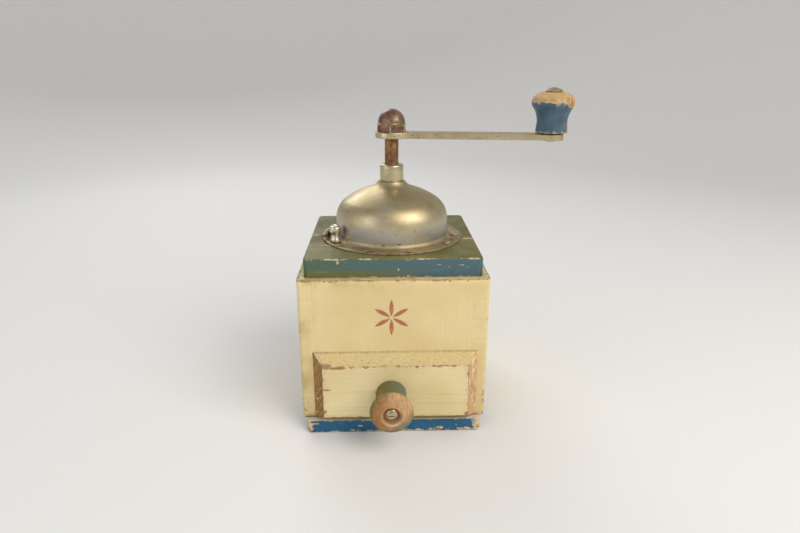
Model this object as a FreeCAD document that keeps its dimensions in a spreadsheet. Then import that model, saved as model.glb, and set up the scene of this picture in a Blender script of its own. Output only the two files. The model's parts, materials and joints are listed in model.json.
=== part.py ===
import FreeCAD, Part
import math
import operator
import os
from types import SimpleNamespace

import Sketcher

# Hand crank coffee grinder: wooden box mill with a metal dome, a crank and a drawer.
# X runs to the right, Y to the back and Z up, in millimetres.
# The origin is on the crank's axis, on the surface that the base stands on.

sizes = {
    # Wooden box
    "boxWidth": 115.0,
    "boxDepth": 115.0,
    "boxHeight": 92.0,
    "wallThick": 10.0,
    "boxRound": 2.2,
    "fingerCount": 7.0,
    "openingWidth": 88.0,
    "openingHeight": 41.0,
    # Base board
    "baseThick": 8.8,
    "baseInset": 2.7,
    "baseLip": 4.5,
    "baseRound": 3.0,
    "baseEase": 1.0,
    "baseScrewReach": 40.0,
    "baseScrewEdge": 5.0,
    # Lid
    "lidWidth": 107.2,
    "lidDepth": 105.4,
    "lidThick": 11.6,
    "lidRound": 3.0,
    "lidEase": 1.0,
    "throatRadius": 27.0,
    # Dome
    "domeRadius": 36.65,
    "domeWall": 12.6,
    "domeRise": 21.8,
    "domeSheet": 0.9,
    "domeBore": 6.0,
    "shoulderRadius": 15.0,
    "footFillet": 2.6,
    "flangeRadius": 46.5,
    "neckRadius": 7.0,
    "neckFillet": 10.0,
    "neckDrop": 5.38,
    "flangeScrewCircle": 42.0,
    # Filling window and its shutter
    "windowAngle": 100.0,
    "windowSpread": 64.0,
    "windowLow": 6.5,
    "windowHigh": 24.0,
    "shutterSpread": 76.0,
    "shutterSheet": 0.8,
    "shutterGap": 0.6,
    "shutterRing": 7.6,
    "shutterFoot": 1.2,
    "recessDepth": 2.4,
    "recessMargin": 2.0,
    "hatchAngle": 209.0,
    "hatchTravel": 69.0,
    "sweepMargin": 18.0,
    "hatchCircle": 41.4,
    "hatchStud": 1.5,
    "hatchLug": 3.6,
    "hatchFoot": 3.4,
    "hatchFootTop": 1.32,
    "hatchFlare": 8.84,
    "hatchWaist": 2.6,
    "hatchWaistLevel": 4.62,
    "hatchHead": 3.65,
    "hatchHeadLow": 6.38,
    "hatchHeadHigh": 9.24,
    "hatchShoulder": 10.12,
    "hatchButton": 1.5,
    "hatchHeight": 11.0,
    "hatchSeat": 0.6,
    # Collar and shaft
    "collarRadius": 7.6,
    "collarHeight": 10.8,
    "collarSpigot": 4.5,
    "collarEase": 0.8,
    "shaftRadius": 4.4,
    "shaftReveal": 16.7,
    "shaftThread": 3.05,
    "tenonSide": 6.2,
    # Crank
    "crankLength": 99.4,
    "crankAngle": -7.5,
    "armThick": 3.65,
    "armWidth": 12.6,
    "bossRadius": 10.4,
    "endRadius": 7.7,
    "armEase": 0.4,
    "nutAcross": 17.3,
    "nutFlats": 5.6,
    "nutDome": 8.6,
    "nutHeight": 14.2,
    "nutTurn": -95.5,
    # Handle
    "handleHeight": 24.0,
    "handleFoot": 9.8,
    "handleWaist": 9.2,
    "handleWaistLevel": 6.1,
    "handleFlare": 15.5,
    "handleRim": 12.6,
    "handleRimLow": 15.6,
    "handleRimBend": 7.5,
    "handleShoulder": 12.75,
    "handleShoulderLevel": 20.0,
    "handleBrow": 9.5,
    "handleCrown": 6.4,
    "pinRadius": 2.5,
    "pinHead": 5.3,
    "pinRim": 0.4,
    "pinDome": 2.4,
    "rivetRadius": 4.6,
    "rivetHeight": 0.7,
    "rivetEase": 0.4,
    "washerRadius": 6.5,
    "washerThick": 0.55,
    # Burrs
    "ringFlange": 42.5,
    "ringPlate": 3.0,
    "ringWall": 26.5,
    "ringHeight": 23.0,
    "ringMouth": 23.4,
    "ringThroat": 19.4,
    "ringTooth": 1.5,
    "ringTeeth": 24.0,
    "ringTwist": 24.0,
    "coneTop": 9.5,
    "coneFoot": 17.6,
    "coneHeight": 20.0,
    "coneFlute": 2.6,
    "coneFlutes": 9.0,
    "coneTwist": 70.0,
    "bandHeight": 6.0,
    "bandTooth": 0.9,
    "bandTeeth": 36.0,
    "bandTwist": 8.0,
    "toothShare": 0.6,
    "burrGap": 0.45,
    "coneDrop": 0.4,
    "hubRadius": 8.2,
    "hubHeight": 6.0,
    "crossPin": 1.3,
    # Lower bearing and adjuster
    "bridgeDrop": 32.8,
    "bridgeThick": 3.0,
    "bridgeWidth": 15.0,
    "bridgeLeg": 32.5,
    "bridgeBend": 2.5,
    "bridgeScrewCircle": 38.6,
    "bushRadius": 7.0,
    "bushFlange": 10.0,
    "bushPlate": 2.0,
    "bushRise": 10.0,
    "bushDrop": 5.0,
    "shaftGrip": 4.6,
    "ballRadius": 3.9,
    "adjusterRadius": 12.0,
    "adjusterThick": 6.0,
    "adjusterGap": 0.6,
    "adjusterEase": 0.55,
    "adjusterNotch": 1.1,
    "adjusterNotches": 24.0,
    "springThick": 0.6,
    "springWidth": 8.0,
    "springReach": 12.0,
    "springDrop": 8.0,
    # Drawer
    "drawerBackGap": 5.0,
    "drawerBoard": 6.0,
    "drawerPanel": 3.0,
    "drawerGroove": 3.0,
    "panelRise": 3.0,
    "drawerSideGap": 0.4,
    "drawerFootGap": 0.3,
    "drawerHeadGap": 1.0,
    "blockThick": 8.0,
    "frontWidth": 101.6,
    "frontHeight": 45.0,
    "frontRise": 0.8,
    "frontShift": 1.0,
    "bevelDepth": 8.0,
    "bevelSide": 6.2,
    "bevelTop": 6.3,
    "bevelFoot": 3.6,
    "runnerHeight": 13.0,
    # Drawer pull
    "pullShift": -1.9,
    "pullRise": 20.6,
    "pullNeck": 9.4,
    "pullNeckLength": 3.0,
    "pullFlare": 34.0,
    "pullRadius": 12.2,
    "pullRimLow": 19.0,
    "pullRimHigh": 22.6,
    "pullRimBend": 2.6,
    "pullBrow": 12.2,
    "pullLength": 26.0,
    "pullRecess": 5.2,
    "pullRecessEase": 0.9,
    "pullRecessDepth": 3.2,
    "pullScrewLength": 34.0,
    # Fasteners and fits
    "woodScrew": 1.5,
    "woodScrewHead": 2.8,
    "woodScrewLength": 9.0,
    "bridgeScrew": 2.0,
    "bridgeScrewHead": 3.3,
    "bridgeScrewLength": 11.0,
    "baseScrew": 1.6,
    "baseScrewHead": 3.0,
    "baseScrewLength": 24.0,
    "pullScrew": 2.1,
    "pullScrewHead": 3.8,
    "headShare": 0.55,
    "slotShare": 0.4,
    "screwFit": 0.1,
    "runningFit": 0.05,
    "slideGap": 0.3,
}

document = FreeCAD.newDocument("coffee_grinder")
sheet = document.addObject("Spreadsheet::Sheet", "Sizes")
for row, (name, number) in enumerate(sizes.items(), 1):
    sheet.set(f"A{row}", name)
    sheet.set(f"B{row}", str(number))
    sheet.setAlias(f"B{row}", name)
document.recompute()

nodes = []


# A number together with the sheet expression that gives it
class Size:
    def __init__(self, value, text):
        self.value = value
        self.text = text

    def __add__(self, other):
        return combine(self, "+", other)

    def __radd__(self, other):
        return combine(other, "+", self)

    def __sub__(self, other):
        return combine(self, "-", other)

    def __rsub__(self, other):
        return combine(other, "-", self)

    def __mul__(self, other):
        return combine(self, "*", other)

    def __rmul__(self, other):
        return combine(other, "*", self)

    def __truediv__(self, other):
        return combine(self, "/", other)

    def __neg__(self):
        return combine(0, "-", self)


signs = {"+": operator.add, "-": operator.sub, "*": operator.mul, "/": operator.truediv}


def sized(item):
    if isinstance(item, Size):
        return item
    return Size(float(item), f"({float(item)})")


def combine(left, sign, right):
    left = sized(left)
    right = sized(right)
    return Size(signs[sign](left.value, right.value), f"({left.text} {sign} {right.text})")


def root(size):
    return Size(math.sqrt(size.value), f"sqrt({size.text})")


def leg(long, short):
    return root(long * long - short * short)


def polar(radius, angle):
    angle = sized(angle)
    turn = math.radians(angle.value)
    across = Size(math.cos(turn), f"cos({angle.text})")
    along = Size(math.sin(turn), f"sin({angle.text})")
    return radius * across, radius * along


dim = SimpleNamespace(**{name: Size(number, f"Sizes.{name}") for name, number in sizes.items()})


# Document helpers


def bind(item, name, size):
    item.setExpression(name, sized(size).text)


def new_body(label):
    body = document.addObject("PartDesign::Body", label)
    body.Label = label
    nodes.append(body)
    return body


def place(item, x=0, y=0, z=0, turn=0, axis=(0, 0, 1)):
    spin = FreeCAD.Rotation(FreeCAD.Vector(*axis), sized(turn).value)
    item.Placement = FreeCAD.Placement(FreeCAD.Vector(), spin)
    for name, size in (("x", x), ("y", y), ("z", z)):
        bind(item, f"Placement.Base.{name}", size)


def new_sketch(body, role, offset=0, turn=0):
    sketch = body.newObject("Sketcher::SketchObject", f"{body.Name}_sketch")
    plane = next(item for item in body.Origin.OriginFeatures if item.Role == role)
    sketch.AttachmentSupport = [(plane, "")]
    sketch.MapMode = "FlatFace"
    spin = FreeCAD.Rotation(FreeCAD.Vector(0, 1, 0), sized(turn).value)
    sketch.AttachmentOffset = FreeCAD.Placement(FreeCAD.Vector(), spin)
    bind(sketch, "AttachmentOffset.Base.z", offset)
    return sketch


def fix(sketch, size, *terms):
    number = sketch.addConstraint(Sketcher.Constraint(*terms, size.value))
    sketch.renameConstraint(number, f"size{number}")
    bind(sketch, f"Constraints.size{number}", size)


def arc_between(here, there, bend):
    chord = there - here
    half = chord.Length / 2
    left = FreeCAD.Vector(-chord.y, chord.x, 0).normalize()
    reach = math.copysign(math.sqrt(bend * bend - half * half), bend)
    centre = (here + there) * 0.5 + left * reach
    first, last = (here, there) if bend > 0 else (there, here)
    start = math.atan2(first.y - centre.y, first.x - centre.x)
    end = math.atan2(last.y - centre.y, last.x - centre.x)
    return Part.ArcOfCircle(Part.Circle(centre, FreeCAD.Vector(0, 0, 1), abs(bend)), start, end)


# A corner is (x, y) or (x, y, bend): an arc of that radius then runs to the next corner,
# turning left where bend is positive and right where it is negative.
def outline(sketch, corners):
    spots = [(sized(corner[0]), sized(corner[1])) for corner in corners]
    points = [FreeCAD.Vector(x.value, y.value, 0) for x, y in spots]
    ends = []
    for index, corner in enumerate(corners):
        here = points[index]
        there = points[(index + 1) % len(points)]
        if len(corner) == 2:
            edge = sketch.addGeometry(Part.LineSegment(here, there), False)
            ends.append((edge, 1, 2))
            continue
        bend = sized(corner[2])
        edge = sketch.addGeometry(arc_between(here, there, bend.value), False)
        fix(sketch, bend if bend.value > 0 else -bend, "Radius", edge)
        ends.append((edge, 1, 2) if bend.value > 0 else (edge, 2, 1))
    for index, (x, y) in enumerate(spots):
        edge, first, last = ends[index]
        after = ends[(index + 1) % len(ends)]
        sketch.addConstraint(Sketcher.Constraint("Coincident", edge, last, after[0], after[1]))
        fix(sketch, x, "DistanceX", -1, 1, edge, first)
        fix(sketch, y, "DistanceY", -1, 1, edge, first)
    return sketch


def rectangle(sketch, left, right, low, high):
    return outline(sketch, [(left, low), (right, low), (right, high), (left, high)])


def circle(sketch, x, y, radius):
    x = sized(x)
    y = sized(y)
    middle = FreeCAD.Vector(x.value, y.value, 0)
    edge = sketch.addGeometry(Part.Circle(middle, FreeCAD.Vector(0, 0, 1), radius.value), False)
    fix(sketch, x, "DistanceX", -1, 1, edge, 3)
    fix(sketch, y, "DistanceY", -1, 1, edge, 3)
    fix(sketch, radius, "Radius", edge)
    return sketch


def extrude(body, kind, sketch, length=None, both=False, back=False):
    feature = body.newObject(f"PartDesign::{kind}", f"{body.Name}_{kind.lower()}")
    feature.Profile = sketch
    feature.SideType = "Symmetric" if both else "One side"
    feature.Reversed = back
    if length is None:
        feature.Type = "ThroughAll"
    else:
        bind(feature, "Length", length)
    return feature


def revolve(body, kind, sketch, spread=360):
    feature = body.newObject(f"PartDesign::{kind}", f"{body.Name}_{kind.lower()}")
    feature.Profile = sketch
    feature.ReferenceAxis = (sketch, ["V_Axis"])
    feature.Midplane = True
    bind(feature, "Angle", spread)
    return feature


def soften(body, kind, feature, wanted, size):
    document.recompute()
    edges = [f"Edge{number}" for number, edge in enumerate(feature.Shape.Edges, 1) if wanted(edge)]
    if not edges:
        raise RuntimeError(f"{body.Label}: no edge to soften")
    easing = body.newObject(f"PartDesign::{kind}", f"{body.Name}_{kind.lower()}")
    easing.Base = (feature, edges)
    bind(easing, "Radius" if kind == "Fillet" else "Size", size)
    return easing


def straight_along(edge, axis):
    if edge.Curve.TypeId != "Part::GeomLine":
        return False
    return abs(abs(edge.tangentAt(edge.FirstParameter)[axis]) - 1) < 1e-6


def level_at(edge, axis, size):
    return all(abs(vertex.Point[axis] - sized(size).value) < 1e-4 for vertex in edge.Vertexes)


def polar_pattern(body, feature, count):
    pattern = body.newObject("PartDesign::PolarPattern", f"{body.Name}_pattern")
    pattern.Originals = [feature]
    axis = next(item for item in body.Origin.OriginFeatures if item.Role == "Z_Axis")
    pattern.Axis = (axis, [""])
    pattern.Angle = 360
    bind(pattern, "Occurrences", count)
    body.Tip = pattern
    return pattern


def turned(label, corners):
    body = new_body(label)
    revolve(body, "Revolution", outline(new_sketch(body, "XZ_Plane"), corners))
    return body


def block(label, low, high):
    box = document.addObject("Part::Box", label)
    box.Label = label
    for name, first, last in zip(("Length", "Width", "Height"), low, high):
        bind(box, name, sized(last) - first)
    place(box, *low)
    return box


def carved(label, base, *tools):
    for number, tool in enumerate(tools, 1):
        name = label if number == len(tools) else f"{label}_step"
        cut = document.addObject("Part::Cut", name)
        cut.Base = base
        cut.Tool = tool
        base = cut
    base.Label = label
    nodes.append(base)
    return base


def solid(label, shape):
    feature = document.addObject("Part::Feature", label)
    feature.Label = label
    feature.Shape = shape
    nodes.append(feature)
    return feature


# Levels and reaches that several pieces share

lidFoot = dim.baseThick + dim.boxHeight
lidTop = lidFoot + dim.lidThick

crownDrop = ((dim.domeRadius - dim.shoulderRadius) * (dim.domeRadius - dim.shoulderRadius)
             - (dim.domeRise - dim.shoulderRadius) * (dim.domeRise - dim.shoulderRadius)) \
    / (2 * (dim.domeRise - dim.shoulderRadius))
crownRadius = crownDrop + dim.domeRise
crownCentre = dim.domeWall - crownDrop
shoulderCentre = dim.domeRadius - dim.shoulderRadius
neckCentre = dim.neckRadius + dim.neckFillet
neckLevel = crownCentre + leg(crownRadius + dim.neckFillet, neckCentre)
domeTop = neckLevel - dim.neckDrop

collarFoot = lidTop + domeTop
armFoot = collarFoot + dim.collarHeight + dim.shaftReveal
armTop = armFoot + dim.armThick
handleFoot = armTop + dim.washerThick + dim.slideGap
handleTop = handleFoot + dim.handleHeight

ringFoot = lidFoot - dim.ringHeight
coneFoot = ringFoot - dim.coneDrop
crossPinLevel = coneFoot + dim.coneHeight + dim.hubHeight / 2
bridgeTop = lidFoot - dim.ringPlate
barTop = bridgeTop - dim.bridgeDrop
barFoot = barTop - dim.bridgeThick
bushTop = barTop + dim.bushRise
bushFoot = barTop - dim.bushDrop
shaftFoot = bushTop - dim.shaftGrip
adjusterTop = shaftFoot - 2 * dim.ballRadius
shaftBore = dim.shaftRadius + dim.runningFit

lugReach = dim.hatchCircle + dim.hatchLug
recessRadius = dim.domeRadius + dim.recessMargin
shutterTop = -(dim.recessDepth - dim.slideGap - dim.shutterFoot)
shutterFloor = shutterTop - dim.shutterFoot
flangeAngles = (325, 352, 62, 112)
bridgeAngles = (0, 90, 180, 270)
cutSpare = 1

wallFront = -dim.boxDepth / 2
baseScrewAcross = dim.boxWidth / 2 - dim.baseInset - dim.baseScrewEdge
drawerFoot = dim.baseThick + dim.drawerFootGap
drawerTop = dim.baseThick + dim.openingHeight - dim.drawerHeadGap
drawerOut = dim.openingWidth / 2 - dim.drawerSideGap
drawerIn = drawerOut - dim.drawerBoard
drawerBack = dim.boxDepth / 2 - dim.wallThick - dim.drawerBackGap
blockBack = wallFront + dim.blockThick
panelLow = drawerFoot + dim.panelRise
panelHigh = panelLow + dim.drawerPanel
frontFace = wallFront - dim.bevelDepth
pullLevel = dim.baseThick + dim.pullRise


# Wooden box: four finger jointed boards, each drawn as the front and turned into place


def wall_board(label, width, reach, turn, parity, opening=False, pilots=False):
    body = new_body(label)
    plan = rectangle(new_sketch(body, "XY_Plane"), -width / 2, width / 2, -reach, dim.wallThick - reach)
    panel = extrude(body, "Pad", plan, dim.boxHeight)
    soften(body, "Fillet", panel,
           lambda edge: straight_along(edge, 2) and level_at(edge, 1, -reach), dim.boxRound)
    fingers = new_sketch(body, "XZ_Plane")
    step = dim.boxHeight / dim.fingerCount
    count = int(dim.fingerCount.value)
    for level in range(parity, count, 2):
        low = level * step - (cutSpare if level == 0 else 0)
        high = (level + 1) * step + (cutSpare if level == count - 1 else 0)
        rectangle(fingers, width / 2 - dim.wallThick, width / 2 + cutSpare, low, high)
        rectangle(fingers, -width / 2 - cutSpare, dim.wallThick - width / 2, low, high)
    extrude(body, "Pocket", fingers, both=True)
    if opening:
        mouth = new_sketch(body, "XZ_Plane")
        rectangle(mouth, -dim.openingWidth / 2, dim.openingWidth / 2, -cutSpare, dim.openingHeight)
        extrude(body, "Pocket", mouth, both=True)
    if pilots:
        holes = new_sketch(body, "XY_Plane")
        for end in (-1, 1):
            circle(holes, end * dim.baseScrewReach, -baseScrewAcross, dim.baseScrew + dim.screwFit)
        extrude(body, "Pocket", holes, dim.baseScrewLength - dim.baseThick + cutSpare, back=True)
    place(body, z=dim.baseThick, turn=turn)


def build_box():
    wall_board("front_board", dim.boxWidth, dim.boxDepth / 2, 0, 1, opening=True)
    wall_board("right_board", dim.boxDepth, dim.boxWidth / 2, 90, 0, pilots=True)
    wall_board("back_board", dim.boxWidth, dim.boxDepth / 2, 180, 1)
    wall_board("left_board", dim.boxDepth, dim.boxWidth / 2, 270, 0, pilots=True)


def base_screw_spots():
    return [(side * baseScrewAcross, end * dim.baseScrewReach) for side in (-1, 1) for end in (-1, 1)]


def build_base():
    body = new_body("base_board")
    across = dim.boxWidth / 2 - dim.baseInset
    front = wallFront - dim.baseLip
    back = dim.boxDepth / 2 - dim.baseInset
    panel = extrude(body, "Pad", rectangle(new_sketch(body, "XY_Plane"), -across, across, front, back),
                    dim.baseThick)
    corners = soften(body, "Fillet", panel, lambda edge: straight_along(edge, 2), dim.baseRound)
    soften(body, "Fillet", corners,
           lambda edge: level_at(edge, 2, 0) or level_at(edge, 2, dim.baseThick), dim.baseEase)
    holes = new_sketch(body, "XY_Plane")
    radius = dim.baseScrew + dim.screwFit
    for x, y in base_screw_spots():
        circle(holes, x, y, radius)
    drilled = extrude(body, "Pocket", holes, both=True)
    sink = dim.baseScrewHead - dim.baseScrew + dim.slideGap
    soften(body, "Chamfer", drilled,
           lambda edge: level_at(edge, 2, 0) and edge.Curve.TypeId == "Part::GeomCircle"
           and abs(edge.Curve.Radius - radius.value) < 1e-6, sink)


def build_lid():
    body = new_body("top_board")
    plan = rectangle(new_sketch(body, "XY_Plane"), -dim.lidWidth / 2, dim.lidWidth / 2,
                     -dim.lidDepth / 2, dim.lidDepth / 2)
    panel = extrude(body, "Pad", plan, dim.lidThick)
    corners = soften(body, "Fillet", panel, lambda edge: straight_along(edge, 2), dim.lidRound)
    soften(body, "Fillet", corners, lambda edge: level_at(edge, 2, dim.lidThick), dim.lidEase)
    extrude(body, "Pocket", circle(new_sketch(body, "XY_Plane"), 0, 0, dim.throatRadius), both=True)
    recess = circle(new_sketch(body, "XY_Plane", dim.lidThick), 0, 0, recessRadius)
    extrude(body, "Pocket", recess, dim.recessDepth)
    sweep = rectangle(new_sketch(body, "XZ_Plane", turn=dim.hatchAngle - dim.hatchTravel / 2),
                      dim.throatRadius + cutSpare, lugReach + dim.slideGap,
                      dim.lidThick - dim.recessDepth, dim.lidThick + cutSpare)
    revolve(body, "Groove", sweep, dim.hatchTravel + dim.sweepMargin)
    pilots = new_sketch(body, "XY_Plane", dim.lidThick)
    for angle in flangeAngles:
        circle(pilots, *polar(dim.flangeScrewCircle, angle), dim.woodScrew + dim.screwFit)
    extrude(body, "Pocket", pilots, dim.woodScrewLength)
    sockets = new_sketch(body, "XY_Plane")
    for angle in bridgeAngles:
        circle(sockets, *polar(dim.bridgeScrewCircle, angle), dim.bridgeScrew + dim.screwFit)
    extrude(body, "Pocket", sockets, dim.bridgeScrewLength - dim.ringPlate, back=True)
    place(body, z=lidFoot)


def build_runners():
    inner = dim.openingWidth / 2
    outer = dim.boxWidth / 2 - dim.wallThick
    ends = dim.boxDepth / 2 - dim.wallThick
    top = dim.baseThick + dim.runnerHeight
    left = block("left_runner", (-outer, -ends, dim.baseThick), (-inner, ends, top))
    right = block("right_runner", (inner, -ends, dim.baseThick), (outer, ends, top))
    pair = document.addObject("Part::Compound", "drawer_runners")
    pair.Links = [left, right]
    nodes.append(pair)


# Dome, collar and hatch


def build_dome():
    sheet_in = dim.domeRadius - dim.domeSheet
    reach = crownRadius - dim.shoulderRadius
    rimRadius = neckCentre - leg(dim.neckFillet, neckLevel - domeTop)
    neckPart = crownRadius / (crownRadius + dim.neckFillet)
    outPart = dim.shoulderRadius / reach
    inPart = (dim.shoulderRadius - dim.domeSheet) / reach
    footLevel = dim.domeSheet + dim.footFillet
    footReach = dim.domeRadius + dim.footFillet
    crownIn = crownRadius - dim.domeSheet
    corners = [
        (dim.domeBore, domeTop),
        (rimRadius, domeTop, dim.neckFillet),
        (neckCentre * neckPart, crownCentre + (neckLevel - crownCentre) * neckPart, -crownRadius),
        (shoulderCentre * (1 + outPart), dim.domeWall + crownDrop * outPart, -dim.shoulderRadius),
        (dim.domeRadius, dim.domeWall),
        (dim.domeRadius, footLevel, dim.footFillet),
        (footReach, dim.domeSheet),
        (dim.flangeRadius, dim.domeSheet),
        (dim.flangeRadius, 0),
        (footReach, 0, -(dim.footFillet + dim.domeSheet)),
        (sheet_in, footLevel),
        (sheet_in, dim.domeWall, dim.shoulderRadius - dim.domeSheet),
        (shoulderCentre * (1 + inPart), dim.domeWall + crownDrop * inPart, crownIn),
        (dim.domeBore, crownCentre + leg(crownIn, dim.domeBore)),
    ]
    body = turned("dome", corners)
    window = new_sketch(body, "XZ_Plane", turn=dim.windowAngle)
    rectangle(window, shoulderCentre / 2, dim.domeRadius + cutSpare, dim.windowLow, dim.windowHigh)
    revolve(body, "Groove", window, dim.windowSpread)
    half = dim.hatchStud + dim.slideGap
    slot = new_sketch(body, "XZ_Plane", turn=dim.hatchAngle - dim.hatchTravel / 2)
    rectangle(slot, dim.hatchCircle - half, dim.hatchCircle + half, -cutSpare,
              dim.domeSheet + dim.footFillet)
    revolve(body, "Groove", slot, dim.hatchTravel)
    holes = new_sketch(body, "XY_Plane")
    circle(holes, *polar(dim.hatchCircle, dim.hatchAngle), half)
    circle(holes, *polar(dim.hatchCircle, dim.hatchAngle - dim.hatchTravel), half)
    extrude(body, "Pocket", holes, dim.domeSheet + dim.footFillet, back=True)
    screws = new_sketch(body, "XY_Plane")
    for angle in flangeAngles:
        circle(screws, *polar(dim.flangeScrewCircle, angle), dim.woodScrew + dim.screwFit)
    extrude(body, "Pocket", screws, 2 * dim.domeSheet, back=True)
    place(body, z=lidTop)


def build_collar():
    spigot = dim.domeBore - dim.runningFit
    body = turned("dome_collar", [
        (shaftBore, -dim.collarSpigot),
        (spigot, -dim.collarSpigot),
        (spigot, 0),
        (dim.collarRadius, 0),
        (dim.collarRadius, dim.collarHeight - dim.collarEase),
        (dim.collarRadius - dim.collarEase, dim.collarHeight),
        (shaftBore, dim.collarHeight),
    ])
    place(body, z=collarFoot)


def build_shutter():
    body = new_body("hatch_shutter")
    inset = dim.domeSheet + dim.shutterGap
    outer = dim.domeRadius - inset
    inner = outer - dim.shutterSheet
    bendOut = dim.shoulderRadius - inset
    bendIn = bendOut - dim.shutterSheet
    reach = crownRadius - dim.shoulderRadius
    ringOut = recessRadius - dim.slideGap
    ring = new_sketch(body, "XZ_Plane")
    rectangle(ring, ringOut - dim.shutterRing, ringOut, shutterFloor, shutterTop)
    revolve(body, "Revolution", ring)
    lug = rectangle(new_sketch(body, "XY_Plane", shutterFloor), ringOut - dim.shutterRing / 2, lugReach,
                    -dim.hatchLug, dim.hatchLug)
    extrude(body, "Pad", lug, dim.shutterFoot)
    shell = new_sketch(body, "XZ_Plane", turn=dim.windowAngle + dim.hatchTravel - dim.hatchAngle)
    outline(shell, [
        (inner, shutterTop - dim.shutterFoot / 2),
        (outer, shutterTop - dim.shutterFoot / 2),
        (outer, dim.domeWall, bendOut),
        (shoulderCentre * (1 + bendOut / reach), dim.domeWall + crownDrop * (bendOut / reach)),
        (shoulderCentre * (1 + bendIn / reach), dim.domeWall + crownDrop * (bendIn / reach), -bendIn),
        (inner, dim.domeWall),
    ])
    revolve(body, "Revolution", shell, dim.shutterSpread)
    stud = circle(new_sketch(body, "XY_Plane"), dim.hatchCircle, 0, dim.hatchStud + dim.screwFit)
    extrude(body, "Pocket", stud, both=True)
    place(body, z=lidTop, turn=dim.hatchAngle)


def build_hatch_knob():
    seat = dim.domeSheet + dim.hatchSeat
    body = turned("hatch_knob", [
        (0, shutterFloor - seat),
        (dim.hatchStud, shutterFloor - seat),
        (dim.hatchStud, 0),
        (dim.hatchFoot, 0),
        (dim.hatchFoot, dim.hatchFootTop, -dim.hatchFlare),
        (dim.hatchWaist, dim.hatchWaistLevel),
        (dim.hatchHead, dim.hatchHeadLow),
        (dim.hatchHead, dim.hatchHeadHigh),
        (dim.hatchWaist, dim.hatchShoulder),
        (dim.hatchButton, dim.hatchShoulder),
        (dim.hatchButton, dim.hatchHeight),
        (0, dim.hatchHeight),
    ])
    x, y = polar(dim.hatchCircle, dim.hatchAngle)
    place(body, x, y, lidTop + seat)


# Screws point down, with the underside of the head at zero


def screw_shape(body, radius, head, length, sunk=False):
    rise = sized(0) if sunk else head * dim.headShare
    slot = radius * dim.slotShare
    corners = [
        (0, -length),
        (radius / 3, -length),
        (radius, -(length - 2 * radius)),
        (radius, -(head - radius) if sunk else 0),
        (head, 0),
    ]
    corners += [(0, 0)] if sunk else [(head, rise / 3, 1.6 * head), (0, rise)]
    revolve(body, "Revolution", outline(new_sketch(body, "XZ_Plane"), corners))
    cut = rectangle(new_sketch(body, "XY_Plane", rise + slot), -head - cutSpare, head + cutSpare,
                    -slot / 2, slot / 2)
    extrude(body, "Pocket", cut, 2 * slot)


def screw_group(label, spots, radius, head, length, sunk=False):
    body = document.addObject("PartDesign::Body", f"{label}_one")
    screw_shape(body, radius, head, length, sunk)
    document.recompute()
    copies = []
    for x, y, z, flip, turn in spots:
        copy = body.Shape.copy()
        spin = FreeCAD.Rotation(turn, 0, 180 if flip else 0)
        copy.Placement = FreeCAD.Placement(FreeCAD.Vector(*(sized(part).value for part in (x, y, z))), spin)
        copies.append(copy)
    solid(label, Part.makeCompound(copies))


def build_screws():
    flange = lidTop + dim.domeSheet
    spots = [(*polar(dim.flangeScrewCircle, angle), flange, False, 3 * angle) for angle in flangeAngles]
    screw_group("flange_screws", spots, dim.woodScrew, dim.woodScrewHead, dim.woodScrewLength)
    spots = []
    for angle in bridgeAngles:
        seat = bridgeTop - dim.bridgeThick if angle in (0, 180) else bridgeTop
        spots.append((*polar(dim.bridgeScrewCircle, angle), seat, True, angle + 30))
    screw_group("bridge_screws", spots, dim.bridgeScrew, dim.bridgeScrewHead, dim.bridgeScrewLength)
    spots = [(x, y, dim.slideGap, True, 40) for x, y in base_screw_spots()]
    screw_group("base_screws", spots, dim.baseScrew, dim.baseScrewHead, dim.baseScrewLength, sunk=True)


# Shaft and crank


def build_shaft():
    top = armTop + dim.nutHeight - dim.nutFlats / 2
    body = turned("main_shaft", [
        (0, shaftFoot),
        (dim.shaftRadius, shaftFoot),
        (dim.shaftRadius, armFoot),
        (dim.shaftThread, armFoot),
        (dim.shaftThread, top),
        (0, top),
    ])
    half = dim.tenonSide / 2
    tenon = rectangle(new_sketch(body, "XY_Plane", armFoot), -half, half, -half, half)
    extrude(body, "Pad", tenon, dim.armThick - dim.screwFit)
    hole = circle(new_sketch(body, "XZ_Plane"), 0, crossPinLevel, dim.crossPin + dim.runningFit)
    extrude(body, "Pocket", hole, both=True)
    place(body, turn=dim.crankAngle)


def build_arm():
    body = new_body("crank_arm")
    half = dim.armWidth / 2
    extrude(body, "Pad", circle(new_sketch(body, "XY_Plane"), 0, 0, dim.bossRadius), dim.armThick)
    extrude(body, "Pad", rectangle(new_sketch(body, "XY_Plane"), 0, dim.crankLength, -half, half),
            dim.armThick)
    bar = extrude(body, "Pad", circle(new_sketch(body, "XY_Plane"), dim.crankLength, 0, dim.endRadius),
                  dim.armThick)
    blended = soften(body, "Fillet", bar,
                     lambda edge: straight_along(edge, 2)
                     and abs(abs(edge.Vertexes[0].Y) - half.value) < 1e-4, dim.armWidth)
    soften(body, "Fillet", blended,
           lambda edge: level_at(edge, 2, 0) or level_at(edge, 2, dim.armThick), dim.armEase)
    hole = dim.tenonSide / 2 + dim.runningFit
    extrude(body, "Pocket", rectangle(new_sketch(body, "XY_Plane"), -hole, hole, -hole, hole), both=True)
    pin = circle(new_sketch(body, "XY_Plane"), dim.crankLength, 0, dim.pinRadius + dim.runningFit)
    extrude(body, "Pocket", pin, both=True)
    place(body, z=armFoot, turn=dim.crankAngle)


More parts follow.
